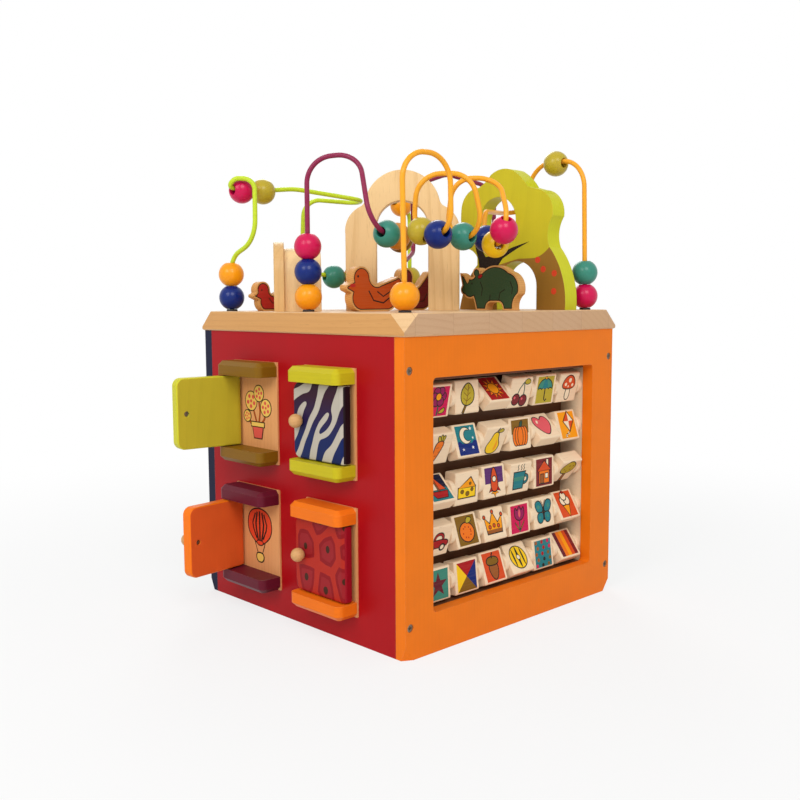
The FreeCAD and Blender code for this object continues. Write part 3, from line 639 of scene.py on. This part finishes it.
dress("base_board", [pine_x])
dress("top_board", [pine_top])
dress("tile_panel", [painted("orange_paint", (236, 120, 20), stain=0.05)])
dress("door_panel", [painted("red_paint", "red")])
dress("track_panel", [painted("navy_paint", "navy", stain=0.08)])
# The rack's back, head and sill are dark brown: painted shade
dress("tile_rack", [pine_pale, painted("rack_back", (112, 74, 50), "X", 0.20)], rack_rule)
dress("tile_rods", [pine_x])
dress("tile_spacers", [pine_pale])
dress("arch", [pine_z])
# The tunnel's flange takes the darker copy of its wood, which is painted shade
dress("tunnel", [pine_tunnel, pine_flange],
      lambda centre, normal: int((centre - TUNNEL_PLACE).dot(TUNNEL_ALONG) < FLANGE_HALF))
dress("door_boards", [picture_board])
dress("animal_cutouts", [cutout_ply])
dress("panel_screws", [shade_darkened_steel])
dress("far_panel", [painted("teal_paint", "teal", "Y"), pine_z],
      lambda centre, normal: int(centre.x > SIDE_FACE))
dress("far_wheel", [painted_sectors("wheel_paint", WHEEL_HEIGHT), pine_z],
      lambda centre, normal: int(centre.x > WHEEL_FACE))
dress("track_slider", [painted("slider_paint", "amber", stain=0.08)])
dress("tree", [painted_tree("tree_paint")])
for row in range(1, 6):
    for column in range(1, 7):
        dress("tile_r%d_c%d" % (row, column), [pine_pale])

# Beads: colour and place of each, in millimetres above the middle of the top board
BEADS = (
    ("blue", -162, 162, 18), ("amber", -162, 162, 48),
    ("blue", -82, -134, 87), ("moss", -78, -102, 93), ("teal", -34, -128, 87), ("pink", -15, -174, 93),
    ("yellow", 0, -148, 79), ("blue", 16, -121, 87), ("moss", 161, -113, 190),
    ("teal", -93, -60, 91), ("ochre", -63, -47, 90), ("olive", -38, -26, 89),
    ("pink", -159, 138, 153), ("moss", -126, 138, 154), ("teal", 0, 149, 46), ("amber", 33, 141, 47),
    ("amber", 138, 155, 154),
    ("amber", -154, -154, 18),
    ("amber", -154, 12, 18), ("blue", -154, 12, 48), ("pink", -154, 12, 78),
    ("pink", 162, -162, 18), ("teal", 161, -161, 48),
    ("lime", 156, 156, 18), ("moss", 156, 156, 48),
)
BEAD_COATS = ("pink", "blue", "amber", "teal", "moss", "olive", "ochre", "yellow", "lime")


def nearest_bead(middle):
    """Number of the coat of the bead listed nearest to a place."""
    place = (middle - Vector((0, 0, BOARD_TOP))) / MILLIMETRE
    return BEAD_COATS.index(min(BEADS, key=lambda bead: (Vector(bead[1:]) - place).length)[0])


bead_coats = [lacquered("bead_" + name, name) for name in BEAD_COATS]
for node in ("loop_beads", "corner_bead", "magenta_stack", "right_stack", "far_stack"):
    dress_clumps(node, bead_coats, nearest_bead)


def sleeve_rule(node):
    """Tells a wire's black end sleeves from the wire, by how far a face is from the wire's foot."""
    points = [v.co for v in frame["nodes"][node].data.vertices if v.co.z < BOARD_TOP - MILLIMETRE]
    feet = []
    for sign in (-1, 1):
        near = [p for p in points if p.x * sign > 0]
        feet.append(sum(near, Vector()) / len(near))

    def rule(centre, normal):
        reach = min((centre.xy - foot.xy).length for foot in feet)
        return int(centre.z < SLEEVE_TOP and reach > SLEEVE_INNER)
    return rule


black_sleeve = moulded_black("black_sleeve")
for name, colour in (("orange", (242, 164, 22)), ("magenta", (134, 4, 68)), ("lime", (192, 216, 34))):
    dress(name + "_wire", [coated_wire(name + "_coat", colour), black_sleeve], sleeve_rule(name + "_wire"))


# Doors and rails

joints = {joint["child"]: joint for joint in frame["joints"]}


def main_normal(node):
    """Direction that the greatest area of a node's surface faces, or the one against it."""
    sums = {}
    for face in frame["nodes"][node].data.polygons:
        n = face.normal if face.normal.z >= -0.5 else -face.normal
        if n.x < -0.001 or (abs(n.x) <= 0.001 and n.y < 0):
            n = -n
        key = tuple(round(c, 2) for c in n)
        sums[key] = sums.get(key, Vector()) + n * face.area
    return max(sums.values(), key=lambda total: total.length).normalized()


def door_frame(node):
    """Hinge place, direction from the leaf to its knob side, and direction from hinge to free edge."""
    hinge = Vector(joints[node]["pos_m"])
    spots = [v.co - hinge for v in frame["nodes"][node].data.vertices]
    out = main_normal(node)
    reaches = [spot.dot(out) for spot in spots]
    if max(reaches) < -min(reaches):
        out = -out
    along = out.cross(Vector((0, 0, 1)))
    if sum(spot.dot(along) for spot in spots) < 0:
        along = -along
    return hinge, out, along


def door_rule(node):
    """Tells a door's leaf, knob, screw, inner face and hinge edge apart."""
    hinge, out, along = door_frame(node)

    def rule(centre, normal):
        spot = centre - hinge
        if spot.dot(out) > LEAF_FRONT:
            return 1
        if math.hypot(spot.dot(along) - KNOB_ALONG, spot.z) < SCREW_RADIUS:
            return 2
        if normal.dot(out) < -FACING:
            return 3
        return 4 if normal.dot(along) < -HEEL_FACING else 0
    return rule


leaf_lime = painted("leaf_lime", (204, 200, 46), stain=0.12)
leaf_orange = painted("leaf_orange", (242, 118, 20), stain=0.08)
heel_black = painted("heel_black", (30, 16, 22), stain=0.10)
heel_red = painted("heel_red", (150, 14, 32), stain=0.08)
# The far doors' inner faces take darker copies of their leaf paint as painted shade; the orange one is redder
# too, a painted reflection of the red panel
DOOR_LEAVES = {
    "door_upper_far": (leaf_lime, painted("leaf_lime_inner", (186, 168, 44), stain=0.10), leaf_lime),
    "door_lower_far": (leaf_orange, painted("leaf_orange_inner", (222, 92, 38), stain=0.10), leaf_orange),
    "door_upper_near": (striped_leaf("striped_leaf", UPPER_DOORS), heel_black, heel_black),
    "door_lower_near": (blotched_leaf("blotched_leaf", LOWER_DOORS), heel_red, heel_red),
}
for node, (front, inner, heel) in DOOR_LEAVES.items():
    dress(node, [front, pine_knob, shade_darkened_steel, inner, heel], door_rule(node))


def rail_rule(centre, normal):
    """Rails by their unit, and the pins in them."""
    for child, joint in joints.items():
        if child.startswith("door") and (centre.xy - Vector(joint["pos_m"][:2])).length < PIN_RADIUS:
            return 4
    return (0 if centre.z > RAIL_SPLIT else 1) + (2 if centre.y < 0 else 0)


RAIL_PAINTS = (("olive_paint", "olive", 0.10), ("plum_paint", "plum", 0.08), ("rail_lime", "lime", 0.08),
               ("rail_orange", "orange", 0.06))
dress("door_rails", [painted(name, colour, "Y", stain) for name, colour, stain in RAIL_PAINTS] + [shade_darkened_steel],
      rail_rule)


# Printed shapes: flat outlines; tile and picture designs reach from -100 to 100 across

def oval(x, y, rx, ry=None, start=0.0, end=360.0, count=28):
    """Points along an ellipse or a part of one."""
    ry = rx if ry is None else ry
    last = count if end - start < 360.0 else count - 1
    angles = [math.radians(start + (end - start) / count * i) for i in range(last + 1)]
    return [(x + rx * math.cos(angle), y + ry * math.sin(angle)) for angle in angles]


def oblong(left, low, right, high):
    return [(left, low), (right, low), (right, high), (left, high)]


def mirrored(half):
    """Outline from its right half, which starts with the right end of a level edge."""
    return [(-half[0][0], half[0][1])] + half + [(-x, y) for x, y in half[:0:-1] if x]


def rounded(points, passes=3):
    """Outline with its corners cut again and again, so that it is smooth."""
    for _ in range(passes):
        out = []
        for (x, y), (u, v) in zip(points, points[1:] + points[:1]):
            out += [(0.75 * x + 0.25 * u, 0.75 * y + 0.25 * v), (0.25 * x + 0.75 * u, 0.25 * y + 0.75 * v)]
        points = out
    return points


def stroke(points, width):
    """Stroke with square ends through points."""
    left, right = [], []
    for i, (x, y) in enumerate(points):
        a, b = points[max(i - 1, 0)], points[min(i + 1, len(points) - 1)]
        share = width / 2.0 / math.hypot(b[0] - a[0], b[1] - a[1])
        nx, ny = (b[1] - a[1]) * share, (a[0] - b[0]) * share
        left.append((x + nx, y + ny))
        right.append((x - nx, y - ny))
    return left + right[::-1]


def star(x, y, outer, inner, count, turn=90.0):
    angles = [math.radians(turn + 180.0 * i / count) for i in range(2 * count)]
    return [(x + (outer, inner)[i % 2] * math.cos(angle), y + (outer, inner)[i % 2] * math.sin(angle))
            for i, angle in enumerate(angles)]


def turned(points, angle, x=0.0, y=0.0):
    c, s = math.cos(math.radians(angle)), math.sin(math.radians(angle))
    return [(x + px * c - py * s, y + px * s + py * c) for px, py in points]


def area(points):
    return sum(a[0] * b[1] - b[0] * a[1] for a, b in zip(points, points[1:] + points[:1])) / 2.0


def offset(points, distance):
    """Outline moved outwards, or inwards where the distance is below nought."""
    if area(points) < 0:
        points = points[::-1]
    out = []
    for i, p in enumerate(points):
        a, b = points[i - 1], points[(i + 1) % len(points)]
        one = Vector((p[1] - a[1], a[0] - p[0]))
        two = Vector((b[1] - p[1], p[0] - b[0]))
        if one.length < 1e-9 or two.length < 1e-9:
            continue
        one.normalize()
        two.normalize()
        way = one + two if (one + two).length > 0.2 else one
        way = way / max(way.dot(one), 0.6)
        out.append((p[0] + way.x * distance, p[1] + way.y * distance))
    return out


# Layers of ink, each a colour and an outline, from the lowest up

def lined(colour, points, line=7, edge="black"):
    """A filled shape over its own dark outline."""
    return [(edge, offset(points, line)), (colour, points)]


def blob(colour, points, line=7, passes=3):
    """A smooth shape over its outline."""
    return lined(colour, rounded(points, passes), line)


def disc(colour, x, y, radius, line=7):
    """A round shape over its outline."""
    return lined(colour, oval(x, y, radius), line)


def dots(colour, places):
    """Round spots without outlines, each given as oval takes it."""
    return [(colour, oval(*spot)) for spot in places]


def mark(colour, points, width):
    return [(colour, stroke(points, width))]


PANEL_X, PANEL_Y = 84, 89


def panel(colour, lower=None, low=-PANEL_Y):
    """Coloured ground that leaves a bare rim, with another colour in its lower part if one is given."""
    layers = [(colour, oblong(-PANEL_X, low, PANEL_X, PANEL_Y))]
    if lower:
        wave = [(PANEL_X - 14 * i, -12 + 10 * math.sin(i * 1.3)) for i in range(13)]
        layers.append((lower, [(-PANEL_X, low), (PANEL_X, low)] + wave))
    return layers


def print_on(name, body, designs):
    """One thin printed piece; each design is (layers, middle, direction it faces, size of its unit)."""
    build = bmesh.new()
    slots = []
    for layers, middle, out, size in designs:
        right = Vector((0, 0, 1)).cross(out).normalized()
        up = out.cross(right)
        for depth, (colour, points) in enumerate(layers):
            if area(points) < 0:
                points = points[::-1]
            if colour not in slots:
                slots.append(colour)
            low = middle - out * INK_SINK
            high = middle + out * (INK_LIFT + INK_STEP * depth)
            spots = [right * (x * size) + up * (y * size) for x, y in points]
            bottom = [build.verts.new(low + spot) for spot in spots]
            top = [build.verts.new(high + spot) for spot in spots]
            faces = [build.faces.new(top), build.faces.new(bottom[::-1])]
            for i in range(len(spots)):
                j = (i + 1) % len(spots)
                faces.append(build.faces.new((bottom[i], bottom[j], top[j], top[i])))
            for face in faces:
                face.material_index = slots.index(colour)
    build.normal_update()
    mesh = bpy.data.meshes.new(name)
    build.to_mesh(mesh)
    build.free()
    for colour in slots:
        mesh.materials.append(ink(colour))
    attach(put(name, mesh), body)


# Tile designs: everyday things in bright inks, and plain patterns on the lowest row

def flower():
    layers = panel("pink") + mark("forest", [(0, -85), (6, -40), (0, 10)], 12)
    layers += blob("moss", [(2, -75), (60, -70), (62, -35)], 5)
    for k in range(6):
        layers += disc("magenta", 36 * math.cos(k * 1.047), 28 + 36 * math.sin(k * 1.047), 24, 6)
    return layers + disc("amber", 0, 28, 20, 6)


def leaf():
    layers = lined("olive", stroke([(-45, -95), (-28, -70), (-12, -45)], 10), 5)
    layers += blob("moss", [(-15, -55), (50, -35), (62, 30), (15, 90), (-48, 40), (-55, -25)])
    layers += mark("olive", [(-15, -50), (5, 10), (14, 72)], 6)
    for k in range(3):
        x, y = -8 + 7 * k, -28 + 32 * k
        layers += mark("olive", [(x, y), (30 - 3 * k, y + 20)], 4.5)
        layers += mark("olive", [(x, y), (-34 + 5 * k, y + 22)], 4.5)
    return layers


def sunshine():
    return panel("red") + lined("orange", star(0, 0, 80, 44, 11), 6) + disc("amber", 0, 0, 40, 6)


def cherries():
    layers = mark("forest", [(-32, -25), (-12, 30), (22, 72)], 8)
    layers += mark("forest", [(36, -35), (34, 20), (22, 72)], 8)
    layers += blob("moss", [(20, 72), (55, 95), (90, 68), (50, 52)], 5)
    for x, y in ((-36, -42), (36, -52)):
        layers += disc("maroon", x, y, 34) + dots("rose", [(x - 12, y + 12, 9)])
    return layers


def umbrella():
    layers = panel("moss") + mark("black", [(0, 10), (0, -62), (12, -76), (26, -62)], 10)
    scallops = [p for k in range(4) for p in oval(-54 + 36 * k, 5, 18, 10, 180, 10, 6)]
    layers += lined("teal", oval(0, 5, 72, 66, 0, 180, 20) + scallops[1:-1])
    layers += dots("sea", [(0, 8, 25, 60, 0, 180, 14)])
    return layers + disc("amber", 0, 78, 8, 4)


def toadstool():
    layers = blob("cream", [(-22, -80), (26, -80), (20, 10), (-16, 10)])
    layers += blob("rust", mirrored([(72, -5), (55, 62), (0, 92)]))
    return layers + dots("cream", [(-32, 25, 12), (8, 52, 15), (40, 18, 11), (-2, 10, 7)])


def carrot():
    layers = []
    for lean in (-28, 0, 28):
        layers += lined("moss", turned(oval(0, 28, 10, 28), lean, 10, 35), 5)
    layers += blob("orange", [(-22, 48), (40, 52), (22, -10), (-28, -95), (-30, -10)])
    for x, y, u in ((-18, 10, 4), (2, -18, 16), (-20, -42, -4)):
        layers += mark("brown", [(x, y), (u, y + 2)], 4)
    return layers


def night():
    crescent = oval(-5, 28, 48, None, 50, 310, 24) + oval(14, 28, 36, None, 300, 60, 18)
    layers = panel("sea", "blue") + lined("cream", crescent, 5)
    for x, y, r in ((48, 68, 13), (55, 10, 10), (40, -48, 12), (-45, -55, 10)):
        layers.append(("white", star(x, y, r, r * 0.42, 5)))
    return layers


def pear():
    layers = mark("black", [(0, 55), (5, 75), (18, 92)], 9)
    layers += blob("moss", [(8, 68), (40, 90), (66, 70), (34, 58)], 5)
    layers += blob("yellow", mirrored([(20, 62), (32, 10), (62, -35), (38, -86)]))
    return layers + [("amber", rounded([(18, 20), (44, -30), (28, -72), (10, -60), (22, -20)]))]


def pumpkin():
    layers = panel("olive", low=0)
    layers += blob("forest", [(-10, 38), (12, 38), (26, 80), (2, 76)], 5, 2)
    for x, rx in ((-42, 30), (42, 30), (-18, 30), (20, 30), (0, 24)):
        layers += lined("orange", oval(x, -16, rx, 58), 5)
    return layers


def heart():
    half = [(0, -82), (55, -30), (82, 22), (62, 66), (26, 70), (0, 40)]
    layers = blob("rose", half + [(-x, y) for x, y in half[4:0:-1]])
    return layers + [("cream", rounded([(-52, 30), (-36, 48), (-24, 36), (-42, 12)]))]


def kite():
    layers = panel("amber") + mark("black", [(15, -35), (0, -55), (-25, -60), (-35, -85)], 5)
    layers += lined("rust", [(18, 86), (66, 25), (14, -40), (-36, 25)])
    layers += [("cream", [(18, 86), (66, 25), (18, 25)]), ("cream", [(18, 25), (-36, 25), (14, -40)])]
    bow = [(-12, 8), (0, 0), (-12, -8), (12, -8), (0, 0), (12, 8)]
    for x, y in ((-5, -56), (-30, -72)):
        layers += lined("cream", [(x + a, y + b) for a, b in bow], 2)
    return layers


def boat():
    layers = panel("navy", "sea") + lined("brown", stroke([(4, -30), (4, 80)], 7), 3)
    layers += lined("rust", [(12, -16), (62, -16), (12, 72)], 5)
    layers += lined("cream", [(-6, -16), (-52, -16), (-6, 56)], 5)
    return layers + lined("red", [(-66, -30), (70, -30), (44, -70), (-42, -70)], 6)


def cheese():
    layers = lined("yellow", oblong(-75, -55, 72, 5))
    layers += lined("amber", [(-75, 5), (72, 5), (30, 62)])
    for x, y, r in ((-42, -18, 13), (5, -34, 15), (44, -12, 11), (26, 26, 8)):
        layers += lined("olive", oval(x, y, r, r * 0.85), 3)
    return layers


def rocket():
    layers = panel("violet", low=-10) + lined("amber", star(0, -62, 34, 14, 5, -90), 4)
    for sign in (-1, 1):
        layers += lined("red", [(sign * 18, -10), (sign * 52, -62), (sign * 18, -52)], 5)
    layers += blob("rust", mirrored([(28, -60), (30, 20), (0, 105)]))
    return layers + disc("cream", 0, 16, 15, 6)


def mug():
    layers = disc("sea", 52, -10, 30) + lined("cream", oval(54, -10, 12, 13), 5)
    layers += lined("sea", [(-62, 40), (46, 40), (36, -68), (-52, -68)])
    layers.append(("teal", [(-59, 10), (43, 10), (40, -16), (-57, -16)]))
    for x in (-30, 2, 26):
        layers += mark("black", [(x, 52), (x + 7, 66), (x - 3, 78), (x + 5, 92)], 5)
    return layers


def house():
    layers = panel("maroon") + lined("cream", oblong(24, 30, 42, 80), 5)
    layers += lined("orange", oblong(-50, -72, 50, 12)) + lined("rust", mirrored([(68, 10), (0, 72)]))
    layers += lined("brown", oblong(-36, -70, -6, -14), 5)
    return layers + lined("cream", oblong(12, -40, 38, -12), 5)


def round_tree():
    layers = lined("brown", [(-12, -85), (14, -85), (8, 10), (-8, 10)])
    layers += blob("moss", [(-66, 0), (0, -22), (66, 0), (70, 50), (20, 92), (-30, 90), (-72, 45)])
    return layers + dots("olive", [(-34, 22, 7), (30, 16, 7), (2, 52, 7), (-5, 4, 7), (42, 50, 7)])


def car():
    layers = blob("red", [(-42, 0), (-28, 55), (32, 55), (50, 0)], passes=2)
    layers += blob("cream", [(-24, 5), (-16, 38), (22, 38), (32, 5)], 5, 2)
    layers += blob("red", [(-88, -40), (-84, 6), (80, 10), (90, -40)], passes=2)
    return layers + disc("cream", -45, -42, 15, 11) + disc("cream", 45, -42, 15, 11)


def fruit():
    layers = panel("olive") + lined("orange", oval(0, -12, 60, 56))
    layers += blob("moss", [(0, 42), (22, 80), (62, 66), (36, 42)], 5)
    return layers + dots("red", [(34 * math.cos(k * 2.4), -12 + 34 * math.sin(k * 2.4), 4.5)
                                 for k in range(9)])


def crown():
    layers = lined("amber", mirrored([(66, -55), (80, 45), (36, 0), (0, 70)]))
    layers.append(("brown", mirrored([(66, -55), (69, -34)])))
    for x, y in ((0, -10), (-40, -16), (40, -16), (-80, 50), (0, 76), (80, 50)):
        layers += disc("rust", x, y, 9, 5)
    return layers


def tulip():
    layers = panel("pink") + mark("forest", [(0, -85), (0, 5)], 11)
    for sign in (-1, 1):
        layers += blob("moss", [(0, -82), (sign * 55, -10), (sign * 20, -50)], 4)
    bloom = [(-42, 78), (-46, 12), (0, -14), (46, 12), (42, 78), (20, 42), (0, 85), (-20, 42)]
    layers += blob("magenta", bloom, passes=2)
    return layers + [("rose", rounded([(0, 70), (14, 30), (0, 0), (-14, 30)]))]


def butterfly():
    layers = []
    for sign in (-1, 1):
        layers += blob("sea", [(0, 5), (sign * 30, 82), (sign * 88, 70), (sign * 62, 2)])
        layers += blob("sea", [(0, 0), (sign * 66, -2), (sign * 62, -62), (sign * 16, -66)])
        layers += dots("teal", [(sign * 50, 40, 13), (sign * 40, -30, 10)])
        layers += mark("black", [(0, 40), (sign * 10, 62), (sign * 22, 80)], 4)
    return layers + dots("black", [(0, -5, 9, 50)])


def ice_cream():
    layers = panel("rust") + lined("amber", mirrored([(34, -2), (0, -85)]))
    layers += disc("cream", -20, 24, 28) + disc("cream", 20, 24, 28) + disc("cream", 0, 56, 26)
    return layers + disc("red", 4, 84, 9, 4)


def big_star():
    return panel("teal") + [("plum", star(0, -2, 78, 32, 5))]


def quarters():
    corners = oblong(-PANEL_X, PANEL_Y, PANEL_X, -PANEL_Y)
    return [(colour, [(0, 0), corners[(k + 1) % 4], corners[k]])
            for k, colour in enumerate(("red", "blue", "olive", "yellow"))]


def acorn():
    layers = panel("rust")
    layers += blob("brown", [(-40, 20), (-36, -45), (0, -90), (36, -45), (40, 20)])
    layers += blob("olive", mirrored([(56, 10), (46, 58)]))
    return layers + mark("black", [(0, 50), (4, 70), (16, 86)], 10)


def striped_ball():
    layers = disc("yellow", 0, 0, 72)
    for x, rx in ((-40, 7), (0, 10), (40, 7)):
        layers += dots("black", [(x, 0, rx, 70 * math.sqrt(1 - (x / 75) ** 2))])
    return layers + disc("cream", 0, 0, 14, 5)


def spotted():
    colours = ("pink", "olive", "red", "black", "brown")
    layers = panel("sea")
    for k in range(15):
        x, y = -60 + 60 * (k % 3) + 16 * (k // 3 % 2) - 8, -76 + 38 * (k // 3)
        layers += dots(colours[(k * 3 + k // 4) % len(colours)], [(x, y, 12.5)])
    return layers


def stripes():
    colours = ("plum", "orange", "amber", "rust", "maroon")
    edges = [PANEL_X * (2 * k / len(colours) - 1) for k in range(len(colours) + 1)]
    return [(colour, oblong(left, -PANEL_Y, right, PANEL_Y))
            for colour, left, right in zip(colours, edges, edges[1:])]


TILE_DESIGNS = [[design() for design in row] for row in (
    (flower, leaf, sunshine, cherries, umbrella, toadstool),
    (carrot, night, pear, pumpkin, heart, kite),
    (boat, cheese, rocket, mug, house, round_tree),
    (car, fruit, crown, tulip, butterfly, ice_cream),
    (big_star, quarters, acorn, striped_ball, spotted, stripes),
)]


def print_tiles():
    """A design on both broad faces of each tile, upright as the tile rests."""
    for row, designs in enumerate(TILE_DESIGNS):
        for column, design in enumerate(designs):
            node = "tile_r%d_c%d" % (row + 1, column + 1)
            axle = Vector(joints[node]["pos_m"])
            out = main_normal(node)
            if out.y > 0:
                out = -out
            low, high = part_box(node)
            middle = Vector(((low.x + high.x) / 2.0, axle.y, axle.z))
            reach = max((v.co - middle).dot(out) for v in frame["nodes"][node].data.vertices)
            other = TILE_DESIGNS[(row + 2) % 5][(column + 3) % 6]
            print_on("print_" + node[5:], node, [(layers, middle + way * reach, way, TILE_UNIT)
                                                 for layers, way in ((design, out), (other, -out))])


# Pictures behind the far doors, the tree's trunk and fruit, the painted animals and the marks by the slot

def potted_plant():
    """Plant with spotted round blooms over a small pot."""
    layers = []
    for path in ([(0, -55), (-18, -10), (-36, 30)], [(5, -55), (16, 0), (6, 62)],
                 [(10, -55), (42, -25), (52, 12)], [(-5, -50), (-42, -45), (-62, -18)]):
        layers += mark("bark", path, 8.5) + mark("tan", path, 4.5)
    for x, y, r in ((-38, 36, 34), (10, 66, 28), (52, 16, 30), (-62, -20, 20)):
        layers += lined("straw", oval(x, y, r), 3.5, "bark")
        for angle in [k * 1.257 + x / 100 for k in range(5)]:
            u, v = x + 0.58 * r * math.cos(angle), y + 0.58 * r * math.sin(angle)
            layers += dots("coral", [(u, v, 0.22 * r)])
        layers += dots("coral", [(x, y, 0.18 * r)])
    layers += lined("coral", [(-30, -50), (34, -50), (24, -96), (-20, -96)], 3.5, "bark")
    return layers + lined("straw", oblong(-36, -40, 40, -54), 3.5, "bark")


def hot_air_balloon():
    """Balloon with dark stripes over a pale basket."""
    layers = mark("black", [(-34, -20), (-13, -70)], 4)
    layers += mark("black", [(34, -20), (13, -70)], 4)
    layers += blob("ember", mirrored([(16, -34), (74, 10), (66, 80), (0, 102)]), 5)
    for x, width in ((-40, 7), (-22, 9), (0, 9), (22, 9), (40, 7)):
        reach = 52 * math.sqrt(1 - (x / 72) ** 2)
        path = [(x * 0.5, 30 - reach), (x * 0.98, 22), (x * 1.08, 42), (x * 0.66, 36 + reach)]
        layers += mark("black", path, width)
    layers += blob("ember", mirrored([(20, -22), (14, -36)]), 4, 2)
    return layers + blob("straw", mirrored([(22, -68), (18, -98)]), 5, 2)


def print_pictures():
    for name, height, layers in (("print_upper_board", UPPER_DOORS, potted_plant()),
                                 ("print_lower_board", LOWER_DOORS, hot_air_balloon())):
        middle = Vector((PICTURE_FACE, PICTURE_MIDDLE, height))
        print_on(name, "box", [(layers, middle, Vector((-1, 0, 0)), PICTURE_UNIT)])


# Outline of the trunk and middles of the fruit, in millimetres from the middle of the top board
TREE_TRUNK = ((-22.5, 0.6), (-24, 30), (-28, 56), (-27, 66), (-22.5, 79), (-18.5, 93), (-22, 90),
              (-29.8, 80.8), (-35.5, 76), (-39.5, 70), (-55.3, 71.7), (-67.4, 74.2), (-84.4, 80.8),
              (-113.5, 87.5), (-91.7, 78.3), (-79.5, 72.5), (-68.6, 66.7), (-62, 59), (-46, 50), (-36, 34),
              (-32.5, 0.6))
TREE_FRUIT = ((-127, 63.5), (-136, 51.5), (-153.5, 46), (-153, 23.5))
FRUIT_RADIUS = 4.1


def print_tree():
    """Dark trunk and branches with fruit beside them, on both broad faces."""
    faces = []
    for x, way in ((TREE_FACE, -1), (TREE_BACK, 1)):
        layers = [("bark", [(y * way, h) for y, h in TREE_TRUNK])]
        layers += dots("ember", [(y * way, h, FRUIT_RADIUS) for y, h in TREE_FRUIT])
        faces.append((layers, Vector((x, 0, BOARD_TOP)), Vector((way, 0, 0)), MILLIMETRE))
    print_on("print_tree", "box", faces)


def face_outline(mesh, faces, way):
    """Boundary of a solid's flat face that looks a given way, as points in space."""
    sides = set()
    for index in faces:
        face = mesh.polygons[index]
        if face.normal.dot(way) > FLAT_FACING:
            keys = [tuple(round(c * 1e6) for c in mesh.vertices[v].co) for v in face.vertices]
            sides.update(zip(keys, keys[1:] + keys[:1]))
    ahead = {a: b for a, b in sides if (b, a) not in sides}
    loop = [min(ahead)]
    while ahead[loop[-1]] != loop[0]:
        loop.append(ahead[loop[-1]])
    return [Vector(key) / 1e6 for key in loop]


def inset(points, distance):
    """Outline moved inwards, without the places that would come too near another side."""
    fine = []
    for a, b in zip(points, points[1:] + points[:1]):
        count = max(1, int(math.hypot(b[0] - a[0], b[1] - a[1]) / INSET_STEP))
        fine += [(a[0] + (b[0] - a[0]) * k / count, a[1] + (b[1] - a[1]) * k / count) for k in range(count)]
    out = []
    for x, y in offset(fine, -distance):
        if min(math.hypot(x - u, y - v) for u, v in fine) > distance * INSET_SHARE:
            if not out or math.hypot(x - out[-1][0], y - out[-1][1]) > INSET_GAP:
                out.append((x, y))
    return out


# Painted animals: place where the outline starts, direction of its first number, colour and small details
ANIMALS = (
    ((-0.1490, 0.1345), (1, 0), "brick",
     dots("bark", [(15, 27, 1.1)]) + mark("bark", [(26, 17), (32, 10), (42, 12)], 1.1)),
    ((-0.1220, -0.0225), (1, 0), "tan",
     dots("brick", [(8.5, 31, 4.5, 2.2)]) + dots("bark", [(17, 42, 1.5)])
     + mark("bark", [(34, 25), (42, 13), (58, 10), (73, 19)], 1.8)
     + mark("bark", [(48, 24), (58, 18), (70, 24)], 1.6)),
    ((-0.0035, 0.0175), (1, 0), "wine",
     dots("bark", [(16, 42, 1.3)]) + mark("bark", [(30, 22), (38, 11), (50, 12), (57, 22)], 1.3)),
    ((0.0525, -0.0475), (0, -1), "fern",
     dots("bark", [(17, 34, 1.2)]) + mark("bark", [(33, 18), (35, 28), (31, 36)], 1.2)
     + mark("bark", [(47, 13), (48, 20)], 1.2) + mark("bark", [(62, 13), (64, 22), (72, 26)], 1.2)
     + mark("bark", [(80, 36), (84, 28), (83, 20)], 1.2)
     + lined("red", turned(oval(0, 0, 3.6, 2.0), 25, 31, 43), 0.8, "bark")),
)


def print_animals():
    """Paint with a dark edge on both faces of each animal, inside a rim of bare plywood."""
    mesh = frame["nodes"]["animal_cutouts"].data
    solids = clumps("animal_cutouts")
    faces = []
    for (x, y), (ux, uy), colour, details in ANIMALS:
        start = Vector((x, y, BOARD_TOP))
        along = Vector((ux, uy, 0))
        push = Vector((abs(uy), abs(ux), 0)) * FIGURE_THICK
        solid = min(solids, key=lambda g: (g[1].xy - (start + along * ANIMAL_REACH).xy).length)[0]
        for way, middle in ((-push.normalized(), start), (push.normalized(), start + push)):
            right = Vector((0, 0, 1)).cross(way)
            turn = 1 if right.dot(along) > 0 else -1
            outline = [p - middle for p in face_outline(mesh, solid, way)]
            rim = [(p.dot(right) / MILLIMETRE, p.z / MILLIMETRE) for p in outline]
            layers = [("bark", inset(rim, BARE_RIM)), (colour, inset(rim, PAINT_RIM))]
            layers += [(tint, [(u * turn, h) for u, h in points]) for tint, points in details]
            faces.append((layers, middle, way, MILLIMETRE))
    print_on("print_animals", "box", faces)


TRAIL_COLOURS = ("pink", "amber", "teal", "lime", "orange")


def print_trail():
    """Two rows of dots beside the slot."""
    layers = []
    for k in range(9):
        for row, height in enumerate((-36.0, 36.0)):
            layers += dots(TRAIL_COLOURS[(k + 2 * row) % 5], [(24.0 * (k - 4), height, 7.0)])
    middle = Vector((0, TRACK_FACE, TRACK_HEIGHT))
    print_on("print_trail", "box", [(layers, middle, Vector((0, 1, 0)), MILLIMETRE)])


print_tiles()
print_pictures()
print_tree()
print_animals()
print_trail()
